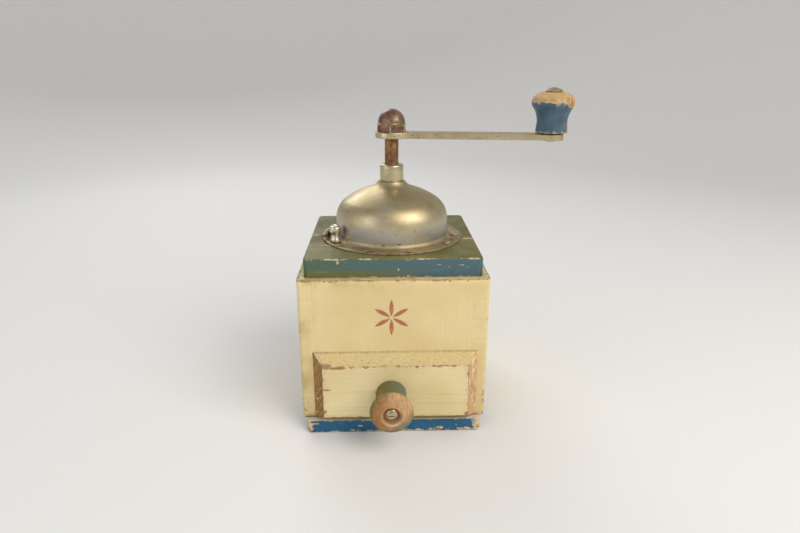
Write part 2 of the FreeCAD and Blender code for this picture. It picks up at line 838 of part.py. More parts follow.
def build_nut():
    body = new_body("cap_nut")
    corner = dim.nutAcross / math.sqrt(3)
    plan = outline(new_sketch(body, "XY_Plane"), [polar(corner, 60 * step) for step in range(6)])
    extrude(body, "Pad", plan, dim.nutFlats)
    ease = corner - dim.nutAcross / 2
    bevel = outline(new_sketch(body, "XZ_Plane"), [
        (dim.nutAcross / 2, dim.nutFlats),
        (corner + ease, dim.nutFlats - ease),
        (corner + ease, dim.nutFlats),
    ])
    revolve(body, "Groove", bevel)
    rise = dim.nutHeight - dim.nutFlats
    cap = outline(new_sketch(body, "XZ_Plane"), [
        (0, dim.nutFlats - cutSpare),
        (dim.nutDome, dim.nutFlats - cutSpare),
        (dim.nutDome, dim.nutFlats, (rise * rise + dim.nutDome * dim.nutDome) / (2 * rise)),
        (0, dim.nutHeight),
    ])
    revolve(body, "Revolution", cap)
    thread = circle(new_sketch(body, "XY_Plane"), 0, 0, dim.shaftThread + dim.runningFit)
    extrude(body, "Pocket", thread, dim.nutHeight - dim.nutFlats / 2 + dim.slideGap, back=True)
    place(body, z=armTop, turn=dim.nutTurn)


# Handle


def on_crank(body, z):
    x, y = polar(dim.crankLength, dim.crankAngle)
    place(body, x, y, z)


def build_handle():
    bore = dim.pinRadius + dim.runningFit
    body = turned("handle_knob", [
        (bore, 0),
        (dim.handleFoot, 0),
        (dim.handleWaist, dim.handleWaistLevel, -dim.handleFlare),
        (dim.handleRim, dim.handleRimLow, dim.handleRimBend),
        (dim.handleShoulder, dim.handleShoulderLevel, dim.handleBrow),
        (dim.handleCrown, dim.handleHeight),
        (bore, dim.handleHeight),
    ])
    on_crank(body, handleFoot)


def build_pin():
    top = handleTop - armFoot + dim.slideGap
    rise = dim.pinDome - dim.pinRim
    body = turned("handle_pin", [
        (0, -dim.rivetHeight),
        (dim.rivetRadius - dim.rivetEase, -dim.rivetHeight),
        (dim.rivetRadius, dim.rivetEase - dim.rivetHeight),
        (dim.rivetRadius, 0),
        (dim.pinRadius, 0),
        (dim.pinRadius, top),
        (dim.pinHead, top),
        (dim.pinHead, top + dim.pinRim, (rise * rise + dim.pinHead * dim.pinHead) / (2 * rise)),
        (0, top + dim.pinDome),
    ])
    on_crank(body, armFoot)
    bore = dim.pinRadius + dim.runningFit
    washer = turned("handle_washer", [
        (bore, 0),
        (dim.washerRadius, 0),
        (dim.washerRadius, dim.washerThick),
        (bore, dim.washerThick),
    ])
    on_crank(washer, armTop)


# Burrs: each toothed section is a polygon of a low and a high corner per tooth


def toothed(count, low, high, level, turn):
    points = []
    step = 360 / count
    for tooth in range(count):
        for radius, share in ((low, 0), (high, dim.toothShare.value)):
            angle = math.radians(turn + (tooth + share) * step)
            points.append(FreeCAD.Vector(radius * math.cos(angle), radius * math.sin(angle), level))
    return Part.makePolygon(points + points[:1])


def toothed_loft(count, sections):
    return Part.makeLoft([toothed(count, *section) for section in sections], True, True)


def build_ring():
    height = dim.ringHeight.value
    plate = dim.ringPlate.value
    tooth = dim.ringTooth.value
    shape = Part.makeCylinder(dim.ringWall.value, height)
    flange = Part.makeCylinder(dim.ringFlange.value, plate, FreeCAD.Vector(0, 0, height - plate))
    shape = shape.fuse(flange).removeSplitter()
    mouth = dim.ringMouth.value
    throat = dim.ringThroat.value
    shape = shape.cut(toothed_loft(int(dim.ringTeeth.value), [
        (throat, throat + tooth, 0, 0),
        (throat, throat + tooth, dim.bandHeight.value, -dim.bandTwist.value),
        (mouth, mouth + tooth, height, -dim.ringTwist.value),
    ]))
    for angle in bridgeAngles:
        x, y = polar(dim.bridgeScrewCircle, angle)
        spot = FreeCAD.Vector(x.value, y.value, 0)
        shape = shape.cut(Part.makeCylinder(dim.bridgeScrew.value + dim.screwFit.value, height, spot))
    place(solid("ring_burr", shape), z=ringFoot)


def build_cone():
    height = dim.coneHeight.value
    band = dim.bandHeight.value
    flute = dim.coneFlute.value
    sectionCount = 4
    sections = []
    for number in range(sectionCount + 1):
        share = number / sectionCount
        tip = dim.coneFoot.value + (dim.coneTop.value - dim.coneFoot.value) * share
        level = band + (height - band) * share
        sections.append((tip - flute, tip, level, dim.coneTwist.value * share))
    shape = toothed_loft(int(dim.coneFlutes.value), sections)
    rim = dim.ringThroat.value - dim.burrGap.value
    shape = shape.fuse(toothed_loft(int(dim.bandTeeth.value), [
        (rim - dim.bandTooth.value, rim, 0, 0),
        (rim - dim.bandTooth.value, rim, band, dim.bandTwist.value),
    ]))
    hub = Part.makeCylinder(dim.hubRadius.value, dim.hubHeight.value, FreeCAD.Vector(0, 0, height))
    shape = shape.fuse(hub)
    bore = Part.makeCylinder(dim.shaftRadius.value + dim.runningFit.value, height + dim.hubHeight.value)
    level = height + dim.hubHeight.value / 2
    reach = 2 * dim.hubRadius.value
    cross = Part.makeCylinder(dim.crossPin.value + dim.runningFit.value, 2 * reach,
                              FreeCAD.Vector(0, -reach, level), FreeCAD.Vector(0, 1, 0))
    shape = shape.cut(bore).cut(cross)
    place(solid("cone_burr", shape), z=coneFoot, turn=dim.crankAngle)
    pin = document.addObject("Part::Cylinder", "burr_pin")
    bind(pin, "Radius", dim.crossPin)
    bind(pin, "Height", 2 * dim.hubRadius)
    turn = FreeCAD.Rotation(dim.crankAngle.value, 0, -90)
    pin.Placement = FreeCAD.Placement(FreeCAD.Vector(), turn)
    x, y = polar(dim.hubRadius, dim.crankAngle - 90)
    for name, size in (("x", x), ("y", y), ("z", crossPinLevel)):
        bind(pin, f"Placement.Base.{name}", size)
    nodes.append(pin)


# Lower bearing and adjuster


def build_bridge():
    body = new_body("bridge")
    thick = dim.bridgeThick
    outer = dim.bridgeLeg
    inner = outer - thick
    foot = dim.ringFlange
    drop = dim.bridgeDrop
    right = [(inner, -drop), (inner, 0), (foot, 0), (foot, -thick), (outer, -thick), (outer, -drop - thick)]
    left = [(-x, z) for x, z in reversed(right)]
    profile = outline(new_sketch(body, "XZ_Plane"), right + left)
    hat = extrude(body, "Pad", profile, dim.bridgeWidth, both=True)
    tight = [(inner, -drop), (outer, -thick)]
    wide = [(inner, 0), (outer, -drop - thick)]

    def at(edge, spots):
        return straight_along(edge, 1) and any(
            abs(abs(edge.Vertexes[0].X) - x.value) < 1e-4 and level_at(edge, 2, z) for x, z in spots)

    bent = soften(body, "Fillet", hat, lambda edge: at(edge, tight), dim.bridgeBend)
    soften(body, "Fillet", bent, lambda edge: at(edge, wide), dim.bridgeBend + thick)
    holes = circle(new_sketch(body, "XY_Plane"), 0, 0, dim.bushRadius + dim.runningFit)
    for side in (-1, 1):
        circle(holes, side * dim.bridgeScrewCircle, 0, dim.bridgeScrew + dim.screwFit)
    extrude(body, "Pocket", holes, both=True)
    place(body, z=bridgeTop)


def build_bearing():
    bush = turned("lower_bush", [
        (shaftBore, -dim.bushDrop),
        (dim.bushRadius, -dim.bushDrop),
        (dim.bushRadius, 0),
        (dim.bushFlange, 0),
        (dim.bushFlange, dim.bushPlate),
        (dim.bushRadius, dim.bushPlate),
        (dim.bushRadius, dim.bushRise),
        (shaftBore, dim.bushRise),
    ])
    place(bush, z=barTop)
    ball = document.addObject("Part::Sphere", "thrust_ball")
    bind(ball, "Radius", dim.ballRadius - dim.runningFit / 2)
    place(ball, z=adjusterTop + dim.ballRadius)
    nodes.append(ball)


def build_adjuster():
    headTop = bushFoot - dim.adjusterGap
    ease = dim.adjusterEase
    shank = dim.shaftRadius
    body = turned("adjusting_screw", [
        (0, -dim.adjusterThick),
        (dim.adjusterRadius - ease, -dim.adjusterThick),
        (dim.adjusterRadius, ease - dim.adjusterThick),
        (dim.adjusterRadius, -ease),
        (dim.adjusterRadius - ease, 0),
        (shank, 0),
        (shank, adjusterTop - headTop),
        (0, adjusterTop - headTop),
    ])
    notch = circle(new_sketch(body, "XY_Plane"), dim.adjusterRadius, 0, dim.adjusterNotch)
    cut = extrude(body, "Pocket", notch, dim.adjusterThick)
    polar_pattern(body, cut, dim.adjusterNotches)
    place(body, z=headTop)


def build_spring():
    body = new_body("adjuster_spring")
    face = dim.adjusterRadius + dim.slideGap + dim.adjusterNotch / 2
    out = face + dim.springThick
    far = face + dim.springReach
    nub = dim.springDrop - dim.adjusterThick / 2
    strip = outline(new_sketch(body, "XZ_Plane"), [
        (face, 0),
        (face, -nub),
        (face - dim.adjusterNotch / 2, -nub - dim.adjusterNotch),
        (face, -nub - 2 * dim.adjusterNotch),
        (face, -dim.springDrop),
        (out, -dim.springDrop),
        (out, -dim.springThick),
        (far, -dim.springThick),
        (far, 0),
    ])
    extrude(body, "Pad", strip, dim.springWidth, both=True)
    place(body, z=barFoot)


# Drawer


def build_drawer_front():
    body = new_body("drawer_front")
    left = dim.frontShift - dim.frontWidth / 2
    right = dim.frontShift + dim.frontWidth / 2
    low = dim.baseThick + dim.frontRise
    high = low + dim.frontHeight
    back = rectangle(new_sketch(body, "XZ_Plane", -wallFront), left, right, low, high)
    face = rectangle(new_sketch(body, "XZ_Plane", -frontFace), left + dim.bevelSide, right - dim.bevelSide,
                     low + dim.bevelFoot, high - dim.bevelTop)
    loft = body.newObject("PartDesign::AdditiveLoft", "drawer_front_loft")
    loft.Profile = back
    loft.Sections = [face]
    loft.Ruled = True
    inset = rectangle(new_sketch(body, "XZ_Plane", -wallFront), -drawerIn, drawerIn, drawerFoot, drawerTop)
    extrude(body, "Pad", inset, dim.blockThick, back=True)
    groove = rectangle(new_sketch(body, "XZ_Plane", -blockBack), -drawerIn - cutSpare, drawerIn + cutSpare,
                       panelLow, panelHigh)
    extrude(body, "Pocket", groove, dim.drawerGroove, back=True)
    hole = circle(new_sketch(body, "XZ_Plane"), dim.pullShift, pullLevel, dim.pullScrew + dim.screwFit)
    extrude(body, "Pocket", hole, both=True)


def build_drawer_box():
    grooveIn = drawerIn + dim.drawerGroove
    frontIn = blockBack - dim.drawerGroove
    backIn = drawerBack - dim.drawerBoard
    backGroove = backIn + dim.drawerGroove
    for label, side in (("drawer_left", -1), ("drawer_right", 1)):
        inner, outer = sorted((side * drawerIn, side * drawerOut), key=lambda size: size.value)
        low, high = sorted((side * drawerIn, side * grooveIn), key=lambda size: size.value)
        board = block(f"{label}_board", (inner, wallFront, drawerFoot), (outer, drawerBack, drawerTop))
        groove = block(f"{label}_groove", (low, frontIn, panelLow), (high, backGroove, panelHigh))
        carved(label, board, groove)
    board = block("drawer_back_board", (-drawerIn, backIn, drawerFoot), (drawerIn, drawerBack, drawerTop))
    groove = block("drawer_back_groove", (-drawerIn, backIn, panelLow), (drawerIn, backGroove, panelHigh))
    carved("drawer_back", board, groove)
    panel = block("drawer_bottom", (-grooveIn, frontIn, panelLow), (grooveIn, backGroove, panelHigh))
    nodes.append(panel)


def build_pull():
    bore = dim.pullScrew + dim.screwFit
    seat = dim.pullLength - dim.pullRecessDepth
    body = turned("drawer_pull", [
        (bore, 0),
        (dim.pullNeck, 0),
        (dim.pullNeck, dim.pullNeckLength, -dim.pullFlare),
        (dim.pullRadius, dim.pullRimLow, dim.pullRimBend),
        (dim.pullRadius, dim.pullRimHigh, dim.pullBrow),
        (dim.pullRecess + dim.pullRecessEase, dim.pullLength),
        (dim.pullRecess, dim.pullLength - dim.pullRecessEase),
        (dim.pullRecess, seat),
        (bore, seat),
    ])
    place(body, dim.pullShift, frontFace, pullLevel, 90, (1, 0, 0))
    screw = new_body("pull_screw")
    screw_shape(screw, dim.pullScrew, dim.pullScrewHead, dim.pullScrewLength)
    place(screw, dim.pullShift, frontFace - seat, pullLevel, 90, (1, 0, 0))


def check_document():
    document.recompute()
    for item in document.Objects:
        if "Invalid" in item.State or "Error" in item.State:
            raise RuntimeError(f"{item.Label}: {item.State}")
        if item.TypeId in ("PartDesign::Pocket", "PartDesign::Groove"):
            if item.Shape.Volume > item.BaseFeature.Shape.Volume - 1e-3:
                raise RuntimeError(f"{item.Label} cuts nothing")
    for item in nodes:
        if item.Shape.isNull() or not item.Shape.isValid():
            raise RuntimeError(f"{item.Label}: no valid shape")


build_box()
build_base()
build_lid()
build_runners()
build_dome()
build_collar()
build_shutter()
build_hatch_knob()
build_screws()
build_shaft()
build_arm()
build_nut()
build_handle()
build_pin()
build_ring()
build_cone()
build_bridge()
build_bearing()
build_adjuster()
build_spring()
build_drawer_front()
build_drawer_box()
build_pull()
check_document()

os.makedirs("parts", exist_ok=True)
for item in nodes:
    item.Shape.exportStep(f"parts/{item.Label}.step")
print(len(nodes), "pieces written")
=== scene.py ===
import json
import math

import bmesh
import bpy
from mathutils import Matrix, Vector, noise


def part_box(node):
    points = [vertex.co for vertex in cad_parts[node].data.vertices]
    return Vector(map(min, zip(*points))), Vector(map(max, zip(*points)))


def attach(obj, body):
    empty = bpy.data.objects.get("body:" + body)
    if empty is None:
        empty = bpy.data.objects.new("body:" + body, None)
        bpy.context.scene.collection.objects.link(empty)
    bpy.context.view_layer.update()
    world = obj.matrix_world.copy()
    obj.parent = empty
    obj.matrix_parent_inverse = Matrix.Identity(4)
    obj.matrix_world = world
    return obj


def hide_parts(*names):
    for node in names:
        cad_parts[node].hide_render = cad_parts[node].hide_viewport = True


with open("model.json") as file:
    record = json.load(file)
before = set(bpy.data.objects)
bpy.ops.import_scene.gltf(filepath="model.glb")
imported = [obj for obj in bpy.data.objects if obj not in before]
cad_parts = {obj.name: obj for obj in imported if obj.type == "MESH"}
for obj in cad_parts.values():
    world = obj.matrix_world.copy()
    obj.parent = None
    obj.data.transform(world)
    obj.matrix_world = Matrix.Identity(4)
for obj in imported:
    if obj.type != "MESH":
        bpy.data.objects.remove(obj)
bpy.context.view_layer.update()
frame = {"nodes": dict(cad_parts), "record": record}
cadNodes = frame["nodes"]
bodyOf = {name: body for body, names in frame["record"]["behaviour"]["bodies"].items() for name in names}
mm = 0.001
print("frame:", len(cadNodes), "nodes")


# Shader tools: they work in one node tree at a time, and its values add and multiply like numbers

atWork = {"tree": None}


class nodeValue:
    def __init__(self, socket):
        self.socket = socket

    def __add__(self, other):
        return calc("ADD", self, other)

    def __sub__(self, other):
        return calc("SUBTRACT", self, other)

    def __rsub__(self, other):
        return calc("SUBTRACT", other, self)

    def __mul__(self, other):
        return calc("MULTIPLY", self, other)

    def __abs__(self):
        return calc("ABSOLUTE", self)


def named(sockets):
    return {socket.name: nodeValue(socket) for socket in sockets}


def plug(socket, value):
    if isinstance(value, nodeValue):
        atWork["tree"].links.new(value.socket, socket)
    else:
        socket.default_value = value


def newNode(kind, inputs, **settings):
    made = atWork["tree"].nodes.new(kind)
    for key, value in settings.items():
        setattr(made, key, value)
    for key, value in inputs.items():
        plug(made.inputs[key], value)
    return made


def nodeResult(kind, inputs, output=0, **settings):
    return nodeValue(newNode(kind, inputs, **settings).outputs[output])


def calc(operation, *values):
    return nodeResult("ShaderNodeMath", dict(enumerate(values)), operation=operation)


def vectorCalc(operation, *values):
    output = "Value" if operation == "LENGTH" else "Vector"
    return nodeResult("ShaderNodeVectorMath", dict(enumerate(values)), output, operation=operation)


def ramp(value, low, high, start=0.0, end=1.0):
    inputs = {"Value": value, "From Min": low, "From Max": high, "To Min": start, "To Max": end}
    return nodeResult("ShaderNodeMapRange", inputs, interpolation_type="SMOOTHSTEP")


def mixed(share, first, second):
    return nodeResult("ShaderNodeMix", {0: share, 6: first, 7: second}, 2, data_type="RGBA")


def cloud(position, scale, detail=3.0, rough=0.55, distort=0.0):
    return nodeResult("ShaderNodeTexNoise", {"Vector": position, "Scale": scale, "Detail": detail,
                                             "Roughness": rough, "Distortion": distort})


def most(*values):
    total = values[0]
    for value in values[1:]:
        total = calc("MAXIMUM", total, value)
    return total


def parts(vector):
    return [nodeValue(socket) for socket in newNode("ShaderNodeSeparateXYZ", {0: vector}).outputs]


def reachOf(across, up):
    return calc("SQRT", across * across + up * up)


def spread(position, factors):
    return vectorCalc("MULTIPLY", position, factors)


def newGroup(name, inputs, outputs):
    tree = bpy.data.node_groups.new(name, "ShaderNodeTree")
    atWork["tree"] = tree
    kinds = {"vector": "NodeSocketVector", "value": "NodeSocketFloat", "colour": "NodeSocketColor"}
    for way, sockets in (("INPUT", inputs), ("OUTPUT", outputs)):
        for label, kind in sockets.items():
            tree.interface.new_socket(label, in_out=way, socket_type=kinds[kind])
    return tree, named(tree.nodes.new("NodeGroupInput").outputs), tree.nodes.new("NodeGroupOutput").inputs


def useGroup(group, **inputs):
    return named(newNode("ShaderNodeGroup", inputs, node_tree=group).outputs)


# Ragged loss of paint along the edges of a box: Distance is how far the nearest edge is

def edgeWearGroup():
    tree, given, result = newGroup("edgeWear", {"Position": "vector", "Centre": "vector", "Half": "vector",
                                                "Reach": "value", "Scale": "value"},
                                   {"Distance": "value", "Mask": "value"})
    away = vectorCalc("ABSOLUTE", vectorCalc("SUBTRACT", given["Position"], given["Centre"]))
    x, y, z = parts(vectorCalc("SUBTRACT", given["Half"], away))
    distance = most(calc("MINIMUM", x, y), calc("MINIMUM", most(x, y), z))
    patches = ramp(cloud(given["Position"], given["Scale"], 5.0, 0.65), 0.48, 0.72)
    nibbles = cloud(given["Position"], given["Scale"] * 4.0, 4.0, 0.7)
    limit = given["Reach"] * (patches + (nibbles - 0.42) * 1.5)
    plug(result["Distance"], distance)
    plug(result["Mask"], ramp(distance - limit, 0.00008, -0.00008))
    return tree


# One ragged spot of a given size

def chipSpotGroup():
    tree, given, result = newGroup("chipSpot", {"Position": "vector", "Centre": "vector", "Size": "vector",
                                                "Ragged": "value"},
                                   {"Mask": "value"})
    away = vectorCalc("DIVIDE", vectorCalc("SUBTRACT", given["Position"], given["Centre"]), given["Size"])
    rough = cloud(given["Position"], 620.0, 4.0, 0.65) - 0.5
    reach = vectorCalc("LENGTH", away) + rough * given["Ragged"]
    plug(result["Mask"], ramp(reach, 1.0, 0.88))
    return tree


# Scattered dots: Amount is the share of cells that hold one

def speckleGroup():
    tree, given, result = newGroup("speckle", {"Position": "vector", "Scale": "value", "Amount": "value",
                                               "Size": "value"},
                                   {"Mask": "value"})
    cells = newNode("ShaderNodeTexVoronoi", {"Vector": given["Position"], "Scale": given["Scale"]})
    cells = named(cells.outputs)
    chance = parts(cells["Color"])
    chosen = calc("LESS_THAN", chance[0], given["Amount"])
    size = given["Size"] * (chance[1] + 0.4)
    bent = cells["Distance"] - 0.15 + cloud(given["Position"], given["Scale"] * 3.0) * 0.3
    plug(result["Mask"], chosen * ramp(bent - size, 0.04, -0.04))
    return tree


# Fibres of bare wood, drawn out by Stretch

def bareWoodGroup():
    tree, given, result = newGroup("bareWood", {"Position": "vector", "Stretch": "vector",
                                                "Light": "colour", "Dark": "colour"},
                                   {"Colour": "colour", "Height": "value"})
    drawn = vectorCalc("MULTIPLY", given["Position"], given["Stretch"])
    bands = cloud(drawn, 1.0, 4.0, 0.6, 0.6)
    fibres = cloud(drawn, 6.0, 3.0, 0.7)
    share = ramp(bands, 0.3, 0.72, 0.0, 0.65) + ramp(fibres, 0.3, 0.7) * 0.4
    plug(result["Colour"], mixed(share, given["Light"], given["Dark"]))
    plug(result["Height"], 1.0 - share)
    return tree


# Rust from dark brown to orange

def rustGroup():
    tree, given, result = newGroup("rust", {"Position": "vector", "Scale": "value", "Dark": "colour",
                                            "Bright": "colour"},
                                   {"Colour": "colour", "Height": "value"})
    grain = cloud(given["Position"], given["Scale"], 6.0, 0.68)
    broad = cloud(given["Position"], given["Scale"] * 0.2, 3.0)
    share = ramp(broad * 0.6 + grain * 0.6, 0.42, 0.8)
    plug(result["Colour"], mixed(share, given["Dark"], given["Bright"]))
    plug(result["Height"], grain)
    return tree


# Six petals from a compass: each is where two circles of the same radius meet

def rosetteGroup():
    tree, given, result = newGroup("rosette", {"Across": "value", "Up": "value", "Radius": "value"},
                                   {"Mask": "value"})
    across, up, radius = given["Across"], given["Up"], given["Radius"]
    reach = reachOf(across, up)
    sector = math.radians(30)
    angle = calc("WRAP", calc("ARCTAN2", up, across) + sector, sector, -sector)
    along = reach * calc("COSINE", angle)
    aside = abs(reach * calc("SINE", angle))
    apart = reachOf(along - radius * 0.5, aside + radius * (math.sqrt(3) / 2))
    plug(result["Mask"], ramp(radius - apart, 0.00025, 0.0005))
    return tree


edgeWear = edgeWearGroup()
chipSpot = chipSpotGroup()
speckle = speckleGroup()
bareWood = bareWoodGroup()
rust = rustGroup()
rosette = rosetteGroup()


# Material tools

def newMaterial(name):
    made = bpy.data.materials.new(name)
    made.use_nodes = True
    atWork["tree"] = made.node_tree
    return made, nodeResult("ShaderNodeTexCoord", {}, "Object")


def facing():
    return parts(nodeResult("ShaderNodeTexCoord", {}, "Normal"))


def dress(colour, rough, height, depth, metallic=0.0, gloss=0.5):
    shader = atWork["tree"].nodes["Principled BSDF"]
    bump = nodeResult("ShaderNodeBump", {"Height": height, "Strength": 1.0, "Distance": depth * mm})
    for key, value in (("Base Color", colour), ("Roughness", rough), ("Metallic", metallic),
                       ("Specular IOR Level", gloss), ("Normal", bump)):
        plug(shader.inputs[key], value)


def woodGrain(spot, stretch, look):
    return useGroup(bareWood, Position=spot, Stretch=stretch, Light=look["woodLight"], Dark=look["woodDark"])


def dotted(spot, scale, amount, size):
    return useGroup(speckle, Position=spot, Scale=scale, Amount=amount, Size=size)["Mask"]


def chips(spot, rows):
    masks = []
    for centre, size, ragged in rows:
        chip = useGroup(chipSpot, Position=spot, Centre=Vector(centre) * mm, Size=Vector(size) * mm,
                        Ragged=ragged)
        masks.append(chip["Mask"])
    return most(*masks)


# Mesh tools

def addObject(name, data):
    made = bpy.data.objects.new(name, data)
    bpy.context.scene.collection.objects.link(made)
    return made


def addMesh(name, bm, material):
    mesh = bpy.data.meshes.new(name)
    bm.to_mesh(mesh)
    bm.free()
    mesh.shade_smooth()
    mesh.materials.append(material)
    return addObject(name, mesh)


def finishPiece(name, bm, node, material, sharp=40):
    piece = addMesh(name, bm, material)
    piece.data.set_sharp_from_angle(angle=math.radians(sharp))
    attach(piece, bodyOf[node])
    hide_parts(node)
    return piece


def arcPoints(here, there, bend):
    chord = there - here
    half = chord.length / 2
    left = Vector((-chord.y, chord.x)).normalized()
    rise = math.sqrt(max(0.0, bend * bend - half * half))
    centre = (here + there) / 2 + left * math.copysign(rise, bend)
    start = math.atan2(here.y - centre.y, here.x - centre.x)
    sweep = math.copysign(2 * math.asin(min(1.0, half / abs(bend))), bend)
    count = max(3, math.ceil(abs(math.degrees(sweep)) / 5))
    turns = [start + sweep * step / count for step in range(1, count)]
    return [centre + abs(bend) * Vector((math.cos(turn), math.sin(turn))) for turn in turns]


# Corners are (radius, level) in mm, or (radius, level, bend) where an arc runs to the next corner

def turnedShape(corners, steps, closed=False):
    points = []
    for number, corner in enumerate(corners):
        here = Vector(corner[:2])
        points.append(here)
        if len(corner) == 3:
            points += arcPoints(here, Vector(corners[(number + 1) % len(corners)][:2]), corner[2])
    bm = bmesh.new()
    verts = [bm.verts.new((point.x * mm, 0, point.y * mm)) for point in points]
    pairs = list(zip(verts, verts[1:])) + ([(verts[-1], verts[0])] if closed else [])
    edges = [bm.edges.new(pair) for pair in pairs]
    bmesh.ops.spin(bm, geom=verts + edges, cent=(0, 0, 0), axis=(0, 0, 1), angle=2 * math.pi, steps=steps,
                   use_merge=True)
    bmesh.ops.remove_doubles(bm, verts=bm.verts, dist=1e-6)
    bmesh.ops.recalc_face_normals(bm, faces=bm.faces)
    return bm


def isSharp(edge, angle):
    return len(edge.link_faces) == 2 and edge.calc_face_angle(0) > math.radians(angle)


def softenEdges(bm, width, angle=40, segments=2):
    edges = [edge for edge in bm.edges if isSharp(edge, angle)]
    bmesh.ops.bevel(bm, geom=edges, offset=width * mm, offset_type="OFFSET", affect="EDGES",
                    segments=segments, profile=0.5, clamp_overlap=True, material=-1)


def moveShape(bm, spot, turn=0.0):
    matrix = Matrix.Translation(spot) @ Matrix.Rotation(math.radians(turn), 4, "X")
    bmesh.ops.transform(bm, matrix=matrix, verts=bm.verts)


def copyOf(node):
    bm = bmesh.new()
    bm.from_mesh(cadNodes[node].data)
    bmesh.ops.remove_doubles(bm, verts=bm.verts, dist=2e-6)
    bmesh.ops.dissolve_limit(bm, angle_limit=math.radians(0.2), verts=bm.verts, edges=bm.edges)
    return bm


def sliceAcross(bm, axis, pitch):
    spots = [vert.co[axis] for vert in bm.verts]
    low, high = min(spots), max(spots)
    count = max(1, round((high - low) / (pitch * mm)))
    normal = Vector([1.0 if number == axis else 0.0 for number in range(3)])
    for step in range(1, count):
        bmesh.ops.bisect_plane(bm, geom=bm.verts[:] + bm.edges[:] + bm.faces[:], dist=1e-7,
                               plane_co=normal * (low + (high - low) * step / count), plane_no=normal)


# Nibbles the sharp edges of a shape back along their normals

def wearEdges(bm, amount, scale, wanted=None, angle=24):
    bm.normal_update()
    moves = []
    for vert in bm.verts:
        sharp = any(isSharp(edge, angle) for edge in vert.link_edges)
        if sharp and (wanted is None or wanted(vert.co)):
            bite = noise.fractal(vert.co * scale, 0.9, 2.0, 4) + 0.1
            moves.append((vert, vert.normal * (-amount * mm * min(1.0, max(0.0, bite)))))
    for vert, move in moves:
        vert.co += move


def boxFrame(*names):
    lows, highs = zip(*(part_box(name) for name in names))
    low = Vector([min(item[axis] for item in lows) for axis in range(3)])
    high = Vector([max(item[axis] for item in highs) for axis in range(3)])
    return (low + high) / 2, (high - low) / 2


def nearEdge(centre, half, reach):
    def near(spot):
        gaps = sorted(half[axis] - abs(spot[axis] - centre[axis]) for axis in range(3))
        return gaps[1] < reach * mm
    return near


def footOf(node):
    low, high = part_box(node)
    return Vector(((low.x + high.x) / 2, (low.y + high.y) / 2, low.z))


def boardShape(node, look, axes, wanted=None):
    bm = copyOf(node)
    if "soft" in look:
        softenEdges(bm, look["soft"], look["softAngle"])
    for axis in axes:
        sliceAcross(bm, axis, look["pitch"])
    wearEdges(bm, look["bite"], look["biteScale"], wanted)
    return bm


# Turned wood with shallow dents

def turnedWood(look):
    bm = turnedShape(look["corners"], look["steps"], closed=True)
    softenEdges(bm, look["soft"], look["softAngle"], 3)
    for vert in bm.verts:
        dent = abs(noise.fractal(vert.co * look["dentScale"], 1.0, 2.0, 3)) * look["dent"]
        vert.co -= vert.normal * (dent * mm)
    return bm


# Box of four finger jointed boards, cream paint with brush lines and chipped edges

box = {
    "cream": (0.78, 0.63, 0.335, 1), "creamDeep": (0.71, 0.555, 0.27, 1), "grimeAndShade": (0.40, 0.28, 0.11, 1),
    "woodLight": (0.50, 0.33, 0.18, 1), "woodDark": (0.25, 0.14, 0.07, 1), "ledge": (0.42, 0.33, 0.15, 1),
    "ornament": (0.36, 0.065, 0.042, 1), "ornamentSpot": (-1.4, 76.8), "ornamentRadius": 12.5,
    "crack": (-48.1, 0.3), "wearScale": 230.0, "relief": 0.14, "gloss": 0.4, "soft": 0.03, "softAngle": 40,
    "pitch": 3.0, "bite": 0.45, "biteScale": 170.0, "biteReach": 0.8, "sharp": 30,
    "boards": {"boxFront": "front_board", "boxBack": "back_board", "boxLeft": "left_board",
               "boxRight": "right_board"},
}
boxCentre, boxHalf = boxFrame(*box["boards"].values())
boxFront = boxCentre.y - boxHalf.y


